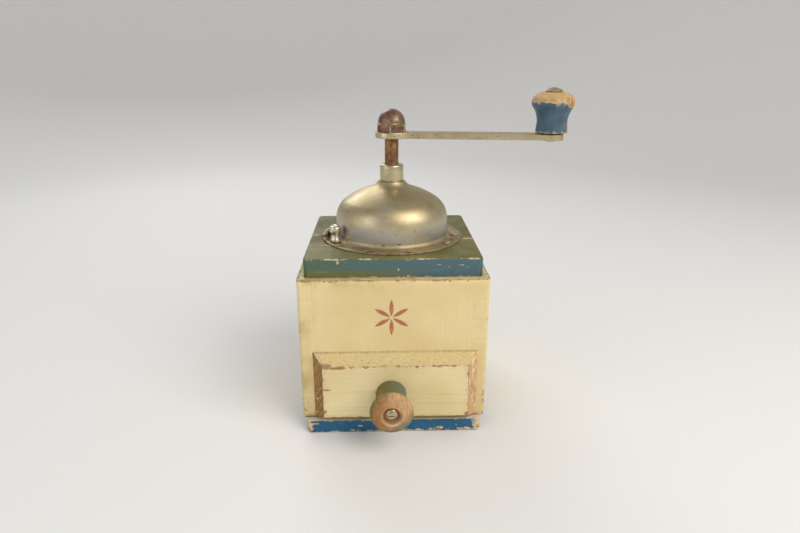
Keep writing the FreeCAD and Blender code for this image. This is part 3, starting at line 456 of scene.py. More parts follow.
def boxPaint():
    made, spot = newMaterial("creamPaint")
    x, y, z = parts(spot)
    foot, roof = boxCentre.z - boxHalf.z, boxCentre.z + boxHalf.z
    onFront = ramp(y, boxFront + 0.0005, boxFront + 0.0002)
    low = ramp(z, foot + 0.0252, foot + 0.0012, 0.0, 0.003)
    high = ramp(z, roof - 0.0048, roof - 0.0002, 0.0009, 0.0016)
    wear = useGroup(edgeWear, Position=spot, Centre=boxCentre, Half=boxHalf, Reach=low + high,
                    Scale=box["wearScale"])
    brush = cloud(spread(spot, (1500, 1500, 26)), 1.0, 3.0)
    broad = cloud(spot, 22.0, 3.0)
    colour = mixed(ramp(broad, 0.35, 0.65), box["cream"], box["creamDeep"])
    colour = mixed(ramp(brush, 0.62, 0.3, 0.0, 0.5), colour, box["creamDeep"])
    stain = ramp(cloud(spot, 75.0, 5.0, 0.6), 0.42, 0.78)
    near = ramp(wear["Distance"], 0.012, 0.0)
    # Dirt near the edges is made heavier towards the left and lighter towards the right; that left-right
    # weighting is painted shade
    leftShade = ramp(x, 0.045, -0.045, 0.2, 0.75)
    colour = mixed(stain * near * leftShade, colour, box["grimeAndShade"])
    top = ramp(z, roof - 0.0005, roof - 0.0001)
    colour = mixed(top * ramp(stain, 0.0, 0.6, 0.45, 0.95), colour, box["ledge"])
    ornamentX, ornamentZ = (value * mm for value in box["ornamentSpot"])
    petals = useGroup(rosette, Across=x - ornamentX, Up=z - ornamentZ, Radius=box["ornamentRadius"] * mm)
    kept = ramp(cloud(spread(spot, (500, 500, 320)), 1.0, 5.0, 0.7), 0.68, 0.58)
    colour = mixed(petals["Mask"] * kept * onFront * 0.85, colour, box["ornament"])
    crackX, crackWidth = (value * mm for value in box["crack"])
    sway = x + cloud(spot, 90.0, 2.0) * 0.0007
    crack = ramp(abs(sway - crackX), crackWidth, crackWidth / 3) * onFront * ramp(stain, 0.0, 0.5, 0.15, 0.5)
    colour = mixed(crack, colour, box["grimeAndShade"])
    dots = dotted(spot, 240.0, 0.03, 0.16) * ramp(broad, 0.45, 0.6)
    clusters = ramp(cloud(spot, 130.0, 4.0, 0.65), 0.52, 0.6)
    edgeDots = dotted(spot, 430.0, 0.35, 0.26) * ramp(wear["Distance"], 0.0026, 0.0004) * clusters
    bare = most(wear["Mask"], dots, edgeDots)
    wood = woodGrain(spot, (160, 160, 420), box)
    colour = mixed(bare, colour, wood["Colour"])
    height = brush * 0.35 - most(bare, crack)
    rough = most(bare, stain * 0.5) * 0.35 + 0.42
    dress(colour, rough, height, box["relief"], gloss=box["gloss"])
    return made


creamPaint = boxPaint()
boxNear = nearEdge(boxCentre, boxHalf, box["biteReach"])
for pieceName, nodeName in box["boards"].items():
    shape = boardShape(nodeName, box, (0, 1, 2), boxNear)
    finishPiece(pieceName, shape, nodeName, creamPaint, box["sharp"])
print("box built")


# Lid, olive on top and blue-green at the sides, split along its grain at both ends

lid = {
    "olive": (0.165, 0.150, 0.042, 1), "oliveDeep": (0.118, 0.110, 0.032, 1),
    "green": (0.080, 0.136, 0.098, 1), "blue": (0.070, 0.136, 0.162, 1), "pale": (0.56, 0.46, 0.30, 1),
    "gap": (0.10, 0.075, 0.04, 1), "woodLight": (0.50, 0.36, 0.21, 1), "woodDark": (0.27, 0.16, 0.085, 1),
    "splits": ((-53.6, -23.4, -34.0, -25.0), (53.6, -10.3, 34.0, -14.0)), "splitWidth": 0.2,
    "splitDepth": 0.7, "splitEdge": 0.6, "splitInner": 34.5, "splitFade": (36.0, 8.0),
    "chips": (((-51.0, 0.0, 112.4), (3.2, 1.7, 1.2), 2.2), ((-52.6, -22.8, 112.2), (2.8, 1.2, 1.0), 2.2),
              ((50.5, -10.8, 112.4), (4.2, 1.3, 1.0), 2.2), ((-33.0, -52.7, 110.9), (0.8, 2.0, 1.9), 1.8),
              ((-37.0, -52.7, 112.2), (6.0, 1.1, 0.7), 2.2), ((-17.0, -52.7, 112.3), (5.0, 1.0, 0.6), 2.2),
              ((18.5, -52.7, 112.3), (6.2, 1.0, 0.7), 2.2), ((47.5, -52.7, 112.3), (5.0, 1.3, 0.8), 2.2),
              ((2.9, -52.7, 105.7), (0.6, 0.8, 0.7), 2.2), ((27.0, -52.7, 108.6), (1.5, 1.0, 0.35), 2.0),
              ((33.0, -52.7, 107.2), (1.2, 1.0, 0.3), 2.0), ((40.5, -52.7, 108.2), (1.6, 1.0, 0.35), 2.0),
              ((44.0, -52.7, 106.8), (0.9, 1.0, 0.3), 2.0)),
    "wearReach": 1.1, "wearScale": 240.0, "relief": 0.16, "gloss": 0.25, "pitch": 2.4, "bite": 0.6,
    "biteScale": 150.0, "biteReach": 1.1, "sharp": 32,
}
lidCentre, lidHalf = boxFrame("top_board")
lidRoof = lidCentre.z + lidHalf.z


def lidPaint():
    made, spot = newMaterial("lidPaint")
    x, y, z = parts(spot)
    up = ramp(facing()[2], 0.45, 0.8)
    wear = useGroup(edgeWear, Position=spot, Centre=lidCentre, Half=lidHalf, Reach=lid["wearReach"] * mm,
                    Scale=lid["wearScale"])
    broad = cloud(spot, 45.0, 4.0, 0.6)
    streak = cloud(spread(spot, (60, 420, 420)), 1.0, 4.0, 0.6)
    top = mixed(ramp(broad, 0.35, 0.65), lid["olive"], lid["oliveDeep"])
    top = mixed(ramp(streak, 0.6, 0.75, 0.0, 0.2), top, lid["green"])
    side = mixed(ramp(x + broad * 0.04, -0.03, 0.045), lid["green"], lid["blue"])
    # Olive on the lower left of the sides: painted light bounced up from the cream ledge below
    ledgeBounce = ramp(z + broad * 0.006, lidRoof - 0.0019, lidRoof - 0.0069) * ramp(x, 0.03, -0.02)
    side = mixed(ledgeBounce * 0.8, side, lid["olive"])
    side = mixed(ramp(streak, 0.58, 0.8, 0.0, 0.3), side, lid["pale"])
    colour = mixed(up, side, top)
    scuff = ramp(cloud(spread(spot, (230, 230, 1100)), 1.0, 3.0, 0.6), 0.68, 0.72) * ramp(broad, 0.46, 0.6)
    spots = chips(spot, lid["chips"])
    rims, gaps = [], []
    for fromX, fromY, toX, toY in lid["splits"]:
        slope = (toY - fromY) / (toX - fromX)
        off = y - ((x - fromX * mm) * slope + fromY * mm) + (cloud(spot, 260.0, 3.0) - 0.5) * 0.0009
        inside = ramp(x * math.copysign(1.0, fromX), abs(toX) * mm, (abs(toX) + 2) * mm)
        rims.append(ramp(abs(off), 0.0009, 0.0005) * inside)
        gaps.append(ramp(abs(off), 0.0002, 0.00008) * inside)
    rim = most(*rims)
    bare = most(wear["Mask"], spots, rim * ramp(streak, 0.3, 0.5, 0.5, 1.0))
    wood = woodGrain(spot, (60, 420, 420), lid)
    worn = mixed(ramp(cloud(spot, 330.0, 3.0), 0.46, 0.6), wood["Colour"], lid["pale"])
    colour = mixed(scuff * 0.6, colour, lid["pale"])
    colour = mixed(bare, colour, worn)
    colour = mixed(rim * 0.75, colour, lid["pale"])
    colour = mixed(most(*gaps), colour, lid["gap"])
    height = streak * 0.5 - bare
    rough = bare * 0.3 + ramp(broad, 0.3, 0.7, 0.38, 0.55)
    dress(colour, rough, height, lid["relief"], gloss=lid["gloss"])
    return made


def splitLid(bm):
    for fromX, fromY, toX, toY in lid["splits"]:
        start = Vector((fromX, fromY, 0)) * mm
        run = Vector((toX - fromX, toY - fromY, 0)).normalized()
        across = Vector((-run.y, run.x, 0))
        side = math.copysign(1.0, fromX)
        for step in (-1, 0, 1):
            faces = [face for face in bm.faces
                     if all(vert.co.x * side > lid["splitInner"] * mm for vert in face.verts)]
            edges = list({edge for face in faces for edge in face.edges})
            verts = list({vert for face in faces for vert in face.verts})
            place = start + across * step * lid["splitWidth"] * mm
            made = bmesh.ops.bisect_plane(bm, geom=verts + edges + faces, dist=1e-7, plane_co=place,
                                          plane_no=across)
            if step == 0:
                middle = [item for item in made["geom_cut"] if isinstance(item, bmesh.types.BMVert)]
        fadeFrom, fadeOver = lid["splitFade"]
        for vert in middle:
            fade = min(1.0, max(0.0, (abs(vert.co.x) / mm - fadeFrom) / fadeOver))
            if vert.co.z > lidRoof - lid["splitEdge"] * mm:
                vert.co.z -= lid["splitDepth"] * mm * fade
            if abs(vert.co.x) > lidHalf.x - lid["splitEdge"] * mm:
                vert.co.x -= side * lid["splitDepth"] * mm


shape = boardShape("top_board", lid, (0, 1), nearEdge(lidCentre, lidHalf, lid["biteReach"]))
splitLid(shape)
finishPiece("lid", shape, "top_board", lidPaint(), lid["sharp"])
print("lid built")


# Base, blue with its lower edge worn to the undercoat

base = {
    "blue": (0.022, 0.130, 0.255, 1), "blueDeep": (0.016, 0.098, 0.200, 1), "pale": (0.62, 0.52, 0.34, 1),
    "ledge": (0.60, 0.53, 0.41, 1), "woodLight": (0.52, 0.35, 0.19, 1), "woodDark": (0.28, 0.16, 0.08, 1),
    "chips": (((-21.6, -62.0, 4.6), (2.4, 1.5, 0.5), 2.4), ((29.0, -62.0, 2.4), (2.2, 1.5, 1.2), 2.4),
              ((-50.5, -62.0, 6.6), (3.6, 2.5, 0.7), 2.2), ((-55.4, -61.0, 4.4), (4.8, 5.0, 6.0), 1.5),
              ((55.8, -61.0, 4.4), (7.0, 5.0, 6.0), 1.8), ((45.0, -62.0, 1.2), (5.0, 2.0, 1.3), 2.2),
              ((10.0, -62.0, 0.4), (7.0, 2.0, 1.1), 2.4), ((-38.0, -62.0, 0.4), (5.0, 2.0, 0.9), 2.4)),
    "wearReach": (1.0, 3.6), "wearScale": 170.0, "relief": 0.15, "gloss": 0.3, "pitch": 3.0, "bite": 0.8,
    "biteScale": 130.0, "biteReach": 1.1, "floor": 0.2, "sharp": 32,
}
baseCentre, baseHalf = boxFrame("base_board")
baseNear = nearEdge(baseCentre, baseHalf, base["biteReach"])


def basePaint():
    made, spot = newMaterial("basePaint")
    above, below = (value * mm for value in base["wearReach"])
    reach = ramp(parts(spot)[2], 0.006, 0.0005, above, below)
    wear = useGroup(edgeWear, Position=spot, Centre=baseCentre, Half=baseHalf, Reach=reach,
                    Scale=base["wearScale"])
    broad = cloud(spot, 60.0, 4.0, 0.6)
    streak = cloud(spread(spot, (70, 70, 620)), 1.0, 4.0, 0.6)
    colour = mixed(ramp(broad, 0.3, 0.7), base["blue"], base["blueDeep"])
    colour = mixed(ramp(streak, 0.64, 0.8, 0.0, 0.22), colour, base["pale"])
    dots = dotted(spot, 330.0, 0.04, 0.16)
    bare = most(wear["Mask"], chips(spot, base["chips"]), dots)
    wood = woodGrain(spot, (60, 60, 420), base)
    worn = mixed(ramp(cloud(spot, 260.0, 3.0), 0.4, 0.55), wood["Colour"], base["pale"])
    faceZ = facing()[2]
    under = ramp(faceZ, -0.6, -0.8)
    ledge = ramp(faceZ, 0.6, 0.8) * ramp(broad, 0.3, 0.5, 0.7, 1.0)
    bare = most(bare, under, ledge)
    worn = mixed(under, worn, wood["Colour"])
    worn = mixed(ledge, worn, base["ledge"])
    colour = mixed(bare, colour, worn)
    dress(colour, bare * 0.3 + 0.42, streak * 0.4 - bare, base["relief"], gloss=base["gloss"])
    return made


shape = boardShape("base_board", base, (0, 1), lambda spot: baseNear(spot) and spot.z > base["floor"] * mm)
finishPiece("base", shape, "base_board", basePaint(), base["sharp"])
print("base built")


# Drawer front: cream face, stippled top bevel with a painted shadow line along its top edge, sawn bare wood
# on the side bevels, the left one darkened as painted shade

drawer = {
    "cream": (0.79, 0.66, 0.375, 1), "creamDeep": (0.72, 0.58, 0.30, 1), "sand": (0.56, 0.43, 0.19, 1),
    "grimeAndShade": (0.36, 0.26, 0.11, 1), "shadedLeftLight": (0.42, 0.235, 0.075, 1), "shadedLeftDark": (0.19, 0.09, 0.025, 1),
    "rightLight": (0.68, 0.42, 0.24, 1), "rightDark": (0.45, 0.245, 0.12, 1),
    "woodLight": (0.56, 0.36, 0.20, 1), "woodDark": (0.27, 0.14, 0.07, 1),
    "middle": (1.0, 30.4), "half": (44.6, 17.6), "relief": 0.18, "gloss": 0.35,
    "chips": (((-43.0, -65.0, 48.3), (6.0, 2.5, 1.7), 1.3), ((-35.0, -65.5, 47.3), (6.5, 1.5, 0.9), 1.5),
              ((-41.8, -65.5, 32.6), (3.6, 1.5, 0.6), 1.3), ((-43.4, -65.5, 17.3), (1.9, 1.5, 1.5), 1.5),
              ((46.0, -64.6, 14.6), (2.6, 2.5, 2.4), 1.5), ((-12.0, -65.5, 47.9), (1.5, 1.2, 0.4), 1.4),
              ((25.0, -65.5, 47.9), (1.2, 1.2, 0.4), 1.4)),
    "soft": 0.25, "softAngle": 30, "pitch": 2.0, "bite": 0.7, "biteScale": 190.0, "biteFrom": 0.4,
    "sharp": 30,
}
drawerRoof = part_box("drawer_front")[1].z


def drawerPaint():
    made, spot = newMaterial("drawerPaint")
    x, y, z = parts(spot)
    face = facing()
    left = ramp(face[0], -0.4, -0.6)
    right = ramp(face[0], 0.4, 0.6)
    top = ramp(face[2], 0.4, 0.6) * ramp(y, boxFront + 0.0005, boxFront + 0.0001)
    lines = cloud(spread(spot, (22, 500, 900)), 1.0, 4.0, 0.6)
    fine = cloud(spread(spot, (60, 700, 2600)), 1.0, 2.0)
    broad = cloud(spot, 30.0, 3.0)
    colour = mixed(ramp(broad, 0.35, 0.65), drawer["cream"], drawer["creamDeep"])
    colour = mixed(ramp(lines, 0.5, 0.8, 0.0, 0.5), colour, drawer["sand"])
    colour = mixed(ramp(fine, 0.6, 0.75, 0.0, 0.35), colour, drawer["sand"])
    grains = cloud(spot, 1500.0, 3.0, 0.7)
    blots = cloud(spot, 560.0, 3.0, 0.6)
    stipple = mixed(ramp(grains, 0.36, 0.6), drawer["creamDeep"], drawer["sand"])
    stipple = mixed(ramp(blots, 0.58, 0.72, 0.0, 0.7), stipple, drawer["grimeAndShade"])
    # Painted shadow: a dark line along the top edge, where the drawer meets the box
    gapShadow = ramp(z, drawerRoof - 0.0013, drawerRoof - 0.0002) * ramp(blots, 0.35, 0.6, 0.3, 0.9)
    stipple = mixed(gapShadow, stipple, drawer["grimeAndShade"])
    colour = mixed(top, colour, stipple)
    (middleX, middleZ), (halfX, halfZ) = drawer["middle"], drawer["half"]
    border = abs(calc("MINIMUM", halfX * mm - abs(x - middleX * mm), halfZ * mm - abs(z - middleZ * mm)))
    patches = ramp(cloud(spot, 210.0, 4.0, 0.65), 0.46, 0.7)
    bare = ramp(border - patches * 0.0013, 0.0001, -0.0001)
    bare = most(bare, chips(spot, drawer["chips"]))
    slant = y * 1.6 + z + (cloud(spot, 110.0, 3.0) - 0.5) * 0.006
    fibre = nodeResult("ShaderNodeCombineXYZ", {0: slant * 620.0, 1: y * 60.0})
    saw = cloud(fibre, 1.0, 4.0, 0.65) * 4.0 - 2.0
    flakes = cloud(spread(spot, (300, 300, 190)), 1.0, 5.0, 0.65)
    leftBare = left * most(ramp(flakes - z * 3.0, 0.545, 0.5), ramp(flakes, 0.6, 0.56))
    rightBare = right * ramp(flakes, 0.585, 0.545)
    # The left bevel's sawn wood is a darker copy of the right's: painted shade
    shadedLeftWood = mixed(ramp(saw, -0.7, 0.8), drawer["shadedLeftDark"], drawer["shadedLeftLight"])
    rightWood = mixed(ramp(saw, -0.8, 0.7), drawer["rightDark"], drawer["rightLight"])
    wood = woodGrain(spot, (60, 420, 420), drawer)
    inner = ramp(y, boxFront - 0.0001, boxFront + 0.0003)
    rawWood = mixed(leftBare, mixed(rightBare, wood["Colour"], rightWood), shadedLeftWood)
    rawWood = mixed(inner, rawWood, wood["Colour"])
    bare = most(bare, leftBare, rightBare, inner)
    colour = mixed(ramp(border, 0.004, 0.0) * ramp(blots, 0.45, 0.7) * 0.35, colour, drawer["grimeAndShade"])
    colour = mixed(bare, colour, rawWood)
    height = fine * 0.4 - bare * 0.9 + top * grains * 1.6 + most(leftBare, rightBare) * saw * 0.45
    rough = most(bare, top) * 0.32 + 0.42
    dress(colour, rough, height, drawer["relief"], gloss=drawer["gloss"])
    return made


shape = boardShape("drawer_front", drawer, (0, 2), lambda spot: spot.y < boxFront - drawer["biteFrom"] * mm)
finishPiece("drawerFace", shape, "drawer_front", drawerPaint(), drawer["sharp"])
print("drawer front built")


# Bare wood inside: drawer box and runners

innerWood = {
    "woodLight": (0.60, 0.44, 0.26, 1), "woodDark": (0.38, 0.24, 0.12, 1), "dust": (0.11, 0.060, 0.030, 1),
    "relief": 0.12, "gloss": 0.25, "soft": 0.3, "softAngle": 40, "pitch": 5.0, "bite": 0.25,
    "biteScale": 150.0, "sharp": 30,
    "boards": {"drawerLeft": "drawer_left", "drawerRight": "drawer_right", "drawerBack": "drawer_back",
               "drawerFloor": "drawer_bottom"},
}


def plainWood():
    made, spot = newMaterial("innerWood")
    wood = woodGrain(spot, (420, 50, 420), innerWood)
    stain = ramp(cloud(spot, 45.0, 5.0, 0.65), 0.45, 0.75)
    up = ramp(facing()[2], 0.5, 0.9)
    colour = mixed(stain * (up * 0.4 + 0.25), wood["Colour"], innerWood["dust"])
    dress(colour, stain * 0.1 + 0.68, wood["Height"], innerWood["relief"], gloss=innerWood["gloss"])
    return made


sawnWood = plainWood()
for pieceName, nodeName in innerWood["boards"].items():
    finishPiece(pieceName, boardShape(nodeName, innerWood, (0, 1, 2)), nodeName, sawnWood, innerWood["sharp"])
print("drawer box built")


# Turned pull: paint left on the neck, bare wood on the head

pull = {
    "corners": ((2.2, 0), (9.4, 0), (9.4, 3.0, -34.0), (12.2, 19.0, 2.6), (12.2, 22.6, 12.2), (6.1, 26.0),
                (5.2, 25.1), (5.2, 22.8), (2.2, 22.8)),
    "green": (0.125, 0.150, 0.095, 1), "olive": (0.150, 0.130, 0.036, 1), "woodLight": (0.63, 0.40, 0.215, 1),
    "woodDark": (0.38, 0.205, 0.085, 1), "pale": (0.60, 0.49, 0.34, 1), "orange": (0.33, 0.14, 0.03, 1),
    "steps": 112, "soft": 0.35, "softAngle": 40, "dent": 0.14, "dentScale": 140, "sharp": 42,
    "ringPitch": 2.4, "paintEnd": 17.6, "relief": 0.14, "gloss": 0.3,
}
pullLow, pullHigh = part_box("drawer_pull")
pullFoot = Vector(((pullLow.x + pullHigh.x) / 2, pullHigh.y, (pullLow.z + pullHigh.z) / 2))


def pullPaint():
    made, spot = newMaterial("pullWood")
    x, y, z = parts(spot)
    across = x - pullFoot.x
    up = z - pullFoot.z
    out = pullFoot.y - y
    reach = reachOf(across, up)
    broad = cloud(spot, 110.0, 4.0, 0.6)
    nibble = cloud(spot, 520.0, 4.0, 0.65)
    lowRight = ramp(across - up * 1.4 + broad * 0.007, 0.0115, 0.0185)
    edge = out + (broad - 0.5) * 0.012 + (nibble - 0.5) * 0.008 - lowRight * 0.006
    paintEnd = pull["paintEnd"] * mm
    paint = ramp(edge, paintEnd + 0.0004, paintEnd - 0.0004) * ramp(nibble, 0.72, 0.64)
    smear = lowRight * ramp(nibble, 0.28, 0.58) * ramp(reach, 0.0058, 0.007)
    flecks = ramp(up - across, 0.0115, 0.0165) * ramp(nibble, 0.5, 0.56)
    lowLeftRim = ramp(reach + nibble * 0.005, 0.013, 0.0142) * ramp(across + up * 0.9, -0.001, -0.006)
    paint = most(paint, smear * 0.85, flecks * 0.8, lowLeftRim * 0.9)
    coat = mixed(ramp(across + broad * 0.012, 0.0, 0.012), pull["olive"], pull["green"])
    rings = calc("SINE", (across + up * 0.35 + broad * 0.006) * (2 * math.pi / (pull["ringPitch"] * mm)))
    wood = woodGrain(spot, (420, 90, 300), pull)
    timber = mixed(ramp(rings, 0.2, 1.0, 0.0, 0.4), wood["Colour"], pull["woodDark"])
    ringed = ramp(abs(reach - 0.0058), 0.001, 0.0003) * ramp(out, 0.0244, 0.025)
    lowLeft = ramp(across + up, 0.002, -0.004) * ramp(nibble, 0.3, 0.5, 0.35, 0.85)
    timber = mixed(ringed * lowLeft, timber, pull["pale"])
    # The left of the head is darkened towards orange: partly a real stain, partly painted shade
    stainAndShade = ramp(across + broad * 0.006, 0.009, -0.007) * ramp(nibble, 0.3, 0.6, 0.6, 0.95)
    timber = mixed(stainAndShade, timber, pull["orange"])
    # Painted shade inside the hollow round the screw
    hollowShade = ramp(reach, 0.0054, 0.0051) * ramp(out, 0.0258, 0.0228)
    colour = mixed(paint, timber, coat)
    colour = mixed(hollowShade * 0.6, colour, pull["woodDark"])
    height = paint * 0.8 + wood["Height"] * 0.5
    dress(colour, 0.62 - paint * 0.14, height, pull["relief"], gloss=pull["gloss"])
    return made


shape = turnedWood(pull)
moveShape(shape, pullFoot, 90)
finishPiece("pull", shape, "drawer_pull", pullPaint(), pull["sharp"])
print("pull built")


# Metals

metal = {
    "nickel": (0.59, 0.515, 0.365, 1), "yellow": (0.50, 0.41, 0.235, 1), "grey": (0.475, 0.445, 0.405, 1),
    "bright": (0.74, 0.69, 0.58, 1), "armTone": (0.56, 0.48, 0.32, 1), "dull": (0.42, 0.33, 0.20, 1),
    "tarnish": (0.42, 0.34, 0.185, 1), "stain": (0.25, 0.17, 0.075, 1), "pit": (0.075, 0.045, 0.025, 1),
    "rustDark": (0.095, 0.042, 0.018, 1), "rustDull": (0.20, 0.105, 0.045, 1),
    "rustBright": (0.36, 0.17, 0.06, 1), "steel": (0.36, 0.34, 0.31, 1), "iron": (0.11, 0.105, 0.10, 1),
    "brass": (0.62, 0.45, 0.17, 1),
}


def wornNickel(name, tone, worn, stain, pitShare, rough, depth=0.07):
    made, spot = newMaterial(name)
    broad = cloud(spot, 120.0, 4.0, 0.6)
    fine = cloud(spot, 700.0, 4.0, 0.65)
    colour = mixed(ramp(broad, 0.35, 0.68), tone, worn)
    colour = mixed(ramp(fine, 0.55, 0.75, 0.0, 0.5), colour, stain)
    pits = dotted(spot, 620.0, pitShare, 0.2)
    colour = mixed(pits, colour, metal["pit"])
    shine = most(pits, ramp(fine, 0.5, 0.8)) * 0.25 + rough
    dress(colour, shine, fine * 0.3 - pits, depth, 1.0 - pits * 0.7)
    return made


# Hexagon nut: its corners are rubbed bright, partly a painted highlight along the corner edges, and slope
# into the cap

nut = {
    "dark": (0.085, 0.041, 0.027, 1), "bright": (0.25, 0.132, 0.078, 1), "worn": (0.66, 0.52, 0.36, 1),
    "turn": -95.5, "flats": 5.6, "cornerDrop": 1.0, "steeper": 3.6,
}


def nutCornerWearAndGlint(spot):
    low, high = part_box("cap_nut")
    x, y = parts(vectorCalc("SUBTRACT", spot, (low + high) / 2))[:2]
    sector = math.radians(30)
    turned = calc("ARCTAN2", y, x) - math.radians(nut["turn"])
    aside = abs(calc("WRAP", turned, sector, -sector))
    ragged = aside - (cloud(spot, 420.0, 4.0, 0.7) - 0.38) * 0.35
    flatsTop = low.z + nut["flats"] * mm
    flats = ramp(parts(spot)[2], flatsTop, flatsTop - 0.0008)
    return ramp(ragged, 0.02, -0.05) * flats


# Lowers the top corners of the hexagon, so that they slope into the cap

def chamferNut(bm):
    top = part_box("cap_nut")[0].z + nut["flats"] * mm
    for vert in bm.verts:
        if 0 < top - vert.co.z < nut["cornerDrop"] * mm:
            vert.co.z = top - (top - vert.co.z) * nut["steeper"]


def rustySteel(name, dark, bright, shine, metalShare, corners=None):
    made, spot = newMaterial(name)
    scale = useGroup(rust, Position=spot, Scale=520.0, Dark=dark, Bright=bright)
    worn = ramp(cloud(spot, 160.0, 4.0, 0.6), 0.5, 0.68)
    colour = mixed(worn * 0.45, scale["Colour"], metal["yellow"])
    specks = dotted(spot, 560.0, 0.3, 0.22)
    colour = mixed(specks * 0.8, colour, metal["pit"])
    if corners:
        # Rubbed corners, lightened partly as a painted highlight along the corner edges
        rubbed = corners(spot)
        colour = mixed(rubbed * 0.7, colour, nut["worn"])
        worn = most(worn, rubbed)
    rough = scale["Height"] * 0.25 + shine
    dress(colour, rough, scale["Height"] - specks * 0.6, 0.1, worn * 0.3 + metalShare)
    return made


def plainMetal(name, tone, rough):
    made, spot = newMaterial(name)
    fine = cloud(spot, 500.0, 4.0, 0.6)
    broad = cloud(spot, 90.0, 4.0, 0.6)
    colour = mixed(ramp(broad, 0.4, 0.7, 0.0, 0.55), tone, metal["stain"])
    colour = mixed(ramp(fine, 0.6, 0.8, 0.0, 0.6), colour, metal["pit"])
    dress(colour, fine * 0.3 + rough, fine, 0.05, 0.9)
    return made


nickel = wornNickel("agedNickel", metal["nickel"], metal["yellow"], metal["stain"], 0.16, 0.30)
brightNickel = wornNickel("brightNickel", metal["bright"], metal["nickel"], metal["yellow"], 0.08, 0.28, 0.02)
armSteel = wornNickel("armSteel", metal["armTone"], metal["yellow"], metal["stain"], 0.45, 0.36)
screwRust = rustySteel("screwRust", metal["rustDull"], metal["yellow"], 0.34, 0.55)
shaftRust = rustySteel("shaftRust", metal["rustDark"], metal["rustBright"], 0.28, 0.5)
nutRust = rustySteel("nutRust", nut["dark"], nut["bright"], 0.18, 0.35, nutCornerWearAndGlint)
pinRust = rustySteel("pinRust", metal["rustDull"], metal["dull"], 0.34, 0.5)
steel = plainMetal("plainSteel", metal["steel"], 0.32)
iron = plainMetal("groundIron", metal["iron"], 0.42)
brass = plainMetal("turnedBrass", metal["brass"], 0.28)


# Spun dome with its flange, the filling window at the back and the slot of the hatch

dome = {
    "radius": 36.65, "wall": 12.6, "rise": 21.8, "sheet": 0.9, "bore": 6.0, "shoulder": 15.0, "foot": 2.6,
    "flange": 46.5, "neck": 7.0, "neckBend": 10.0, "neckDrop": 5.38, "steps": 180, "wave": 0.10,
    "window": (68, 132, 6.5, 24.0), "slot": (136.5, 212.5, 39.6, 43.2),
    "lip": (0.5, 0.3), "waveScale": 30, "waveFrom": 4.0, "thin": 0.85, "sharp": 50,
    "scabs": (((-42.9, -6.1, 113.3), (4.0, 4.4, 1.5), 1.3), ((-40.5, -14.0, 113.3), (3.0, 2.6, 1.5), 1.6),
              ((4.0, -36.6, 116.2), (1.3, 2.0, 0.45), 2.4), ((-14.0, -42.0, 113.3), (3.5, 2.0, 1.2), 2.0),
              ((9.0, -43.0, 113.3), (3.5, 1.6, 1.2), 2.0), ((41.5, -5.8, 113.3), (3.8, 3.6, 1.5), 2.0),
              ((34.4, -24.1, 113.3), (3.4, 3.6, 1.5), 2.0), ((19.7, 37.1, 113.3), (3.6, 3.6, 1.5), 2.0),
              ((-15.7, 38.9, 113.3), (3.6, 3.6, 1.5), 2.0)),
}
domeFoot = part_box("dome")[0].z


def domeNickel():
    made, spot = newMaterial("domeNickel")
    x, y, z = parts(spot)
    up = z - domeFoot
    broad = cloud(spot, 38.0, 4.0, 0.6)
    fine = cloud(spot, 420.0, 4.0, 0.6)
    spun = cloud(spread(spot, (25, 25, 1500)), 1.0, 2.0)
    colour = mixed(ramp(broad, 0.35, 0.68), metal["nickel"], metal["yellow"])
    colour = mixed(ramp(up, 0.0116, 0.0216) * ramp(broad, 0.3, 0.6, 0.35, 0.75), colour, metal["tarnish"])
    wall = ramp(up, 0.0156, 0.0096) * ramp(up, 0.0016, 0.0041)
    colour = mixed(wall * ramp(broad, 0.62, 0.4, 0.45, 0.9), colour, metal["grey"])
    flange = ramp(up, 0.0048, 0.0014)
    blotch = ramp(cloud(spot, 120.0, 5.0, 0.65), 0.42, 0.72)
    colour = mixed(flange * (blotch * 0.5 + 0.4), colour, metal["stain"])
    colour = mixed(ramp(blotch, 0.5, 1.0, 0.0, 0.25), colour, metal["stain"])
    low = ramp(up, 0.0216, 0.0036, 0.15, 1.0)
    pits = dotted(spot, 310.0, 0.26, 0.21) * low * ramp(broad, 0.4, 0.58)
    tiny = dotted(spot, 800.0, 0.2, 0.2) * low
    scabs = chips(spot, dome["scabs"])
    edge = dome["flange"] * mm
    rim = ramp(reachOf(x, y), edge - 0.0013, edge - 0.0001) * ramp(fine, 0.42, 0.62) * ramp(broad, 0.4, 0.6)
    eaten = most(pits, scabs, rim, tiny * 0.7)
    scale = useGroup(rust, Position=spot, Scale=700.0, Dark=metal["pit"], Bright=metal["rustDull"])
    colour = mixed(eaten, colour, scale["Colour"])
    rough = ramp(fine, 0.3, 0.75) * 0.08 + ramp(broad, 0.3, 0.7, 0.36, 0.45)
    rough = most(eaten, flange * 0.35) * 0.35 + rough
    height = spun * 0.1 + fine * 0.12 - eaten
    dress(colour, rough, height, 0.08, 1.0 - eaten * 0.75)
    return made


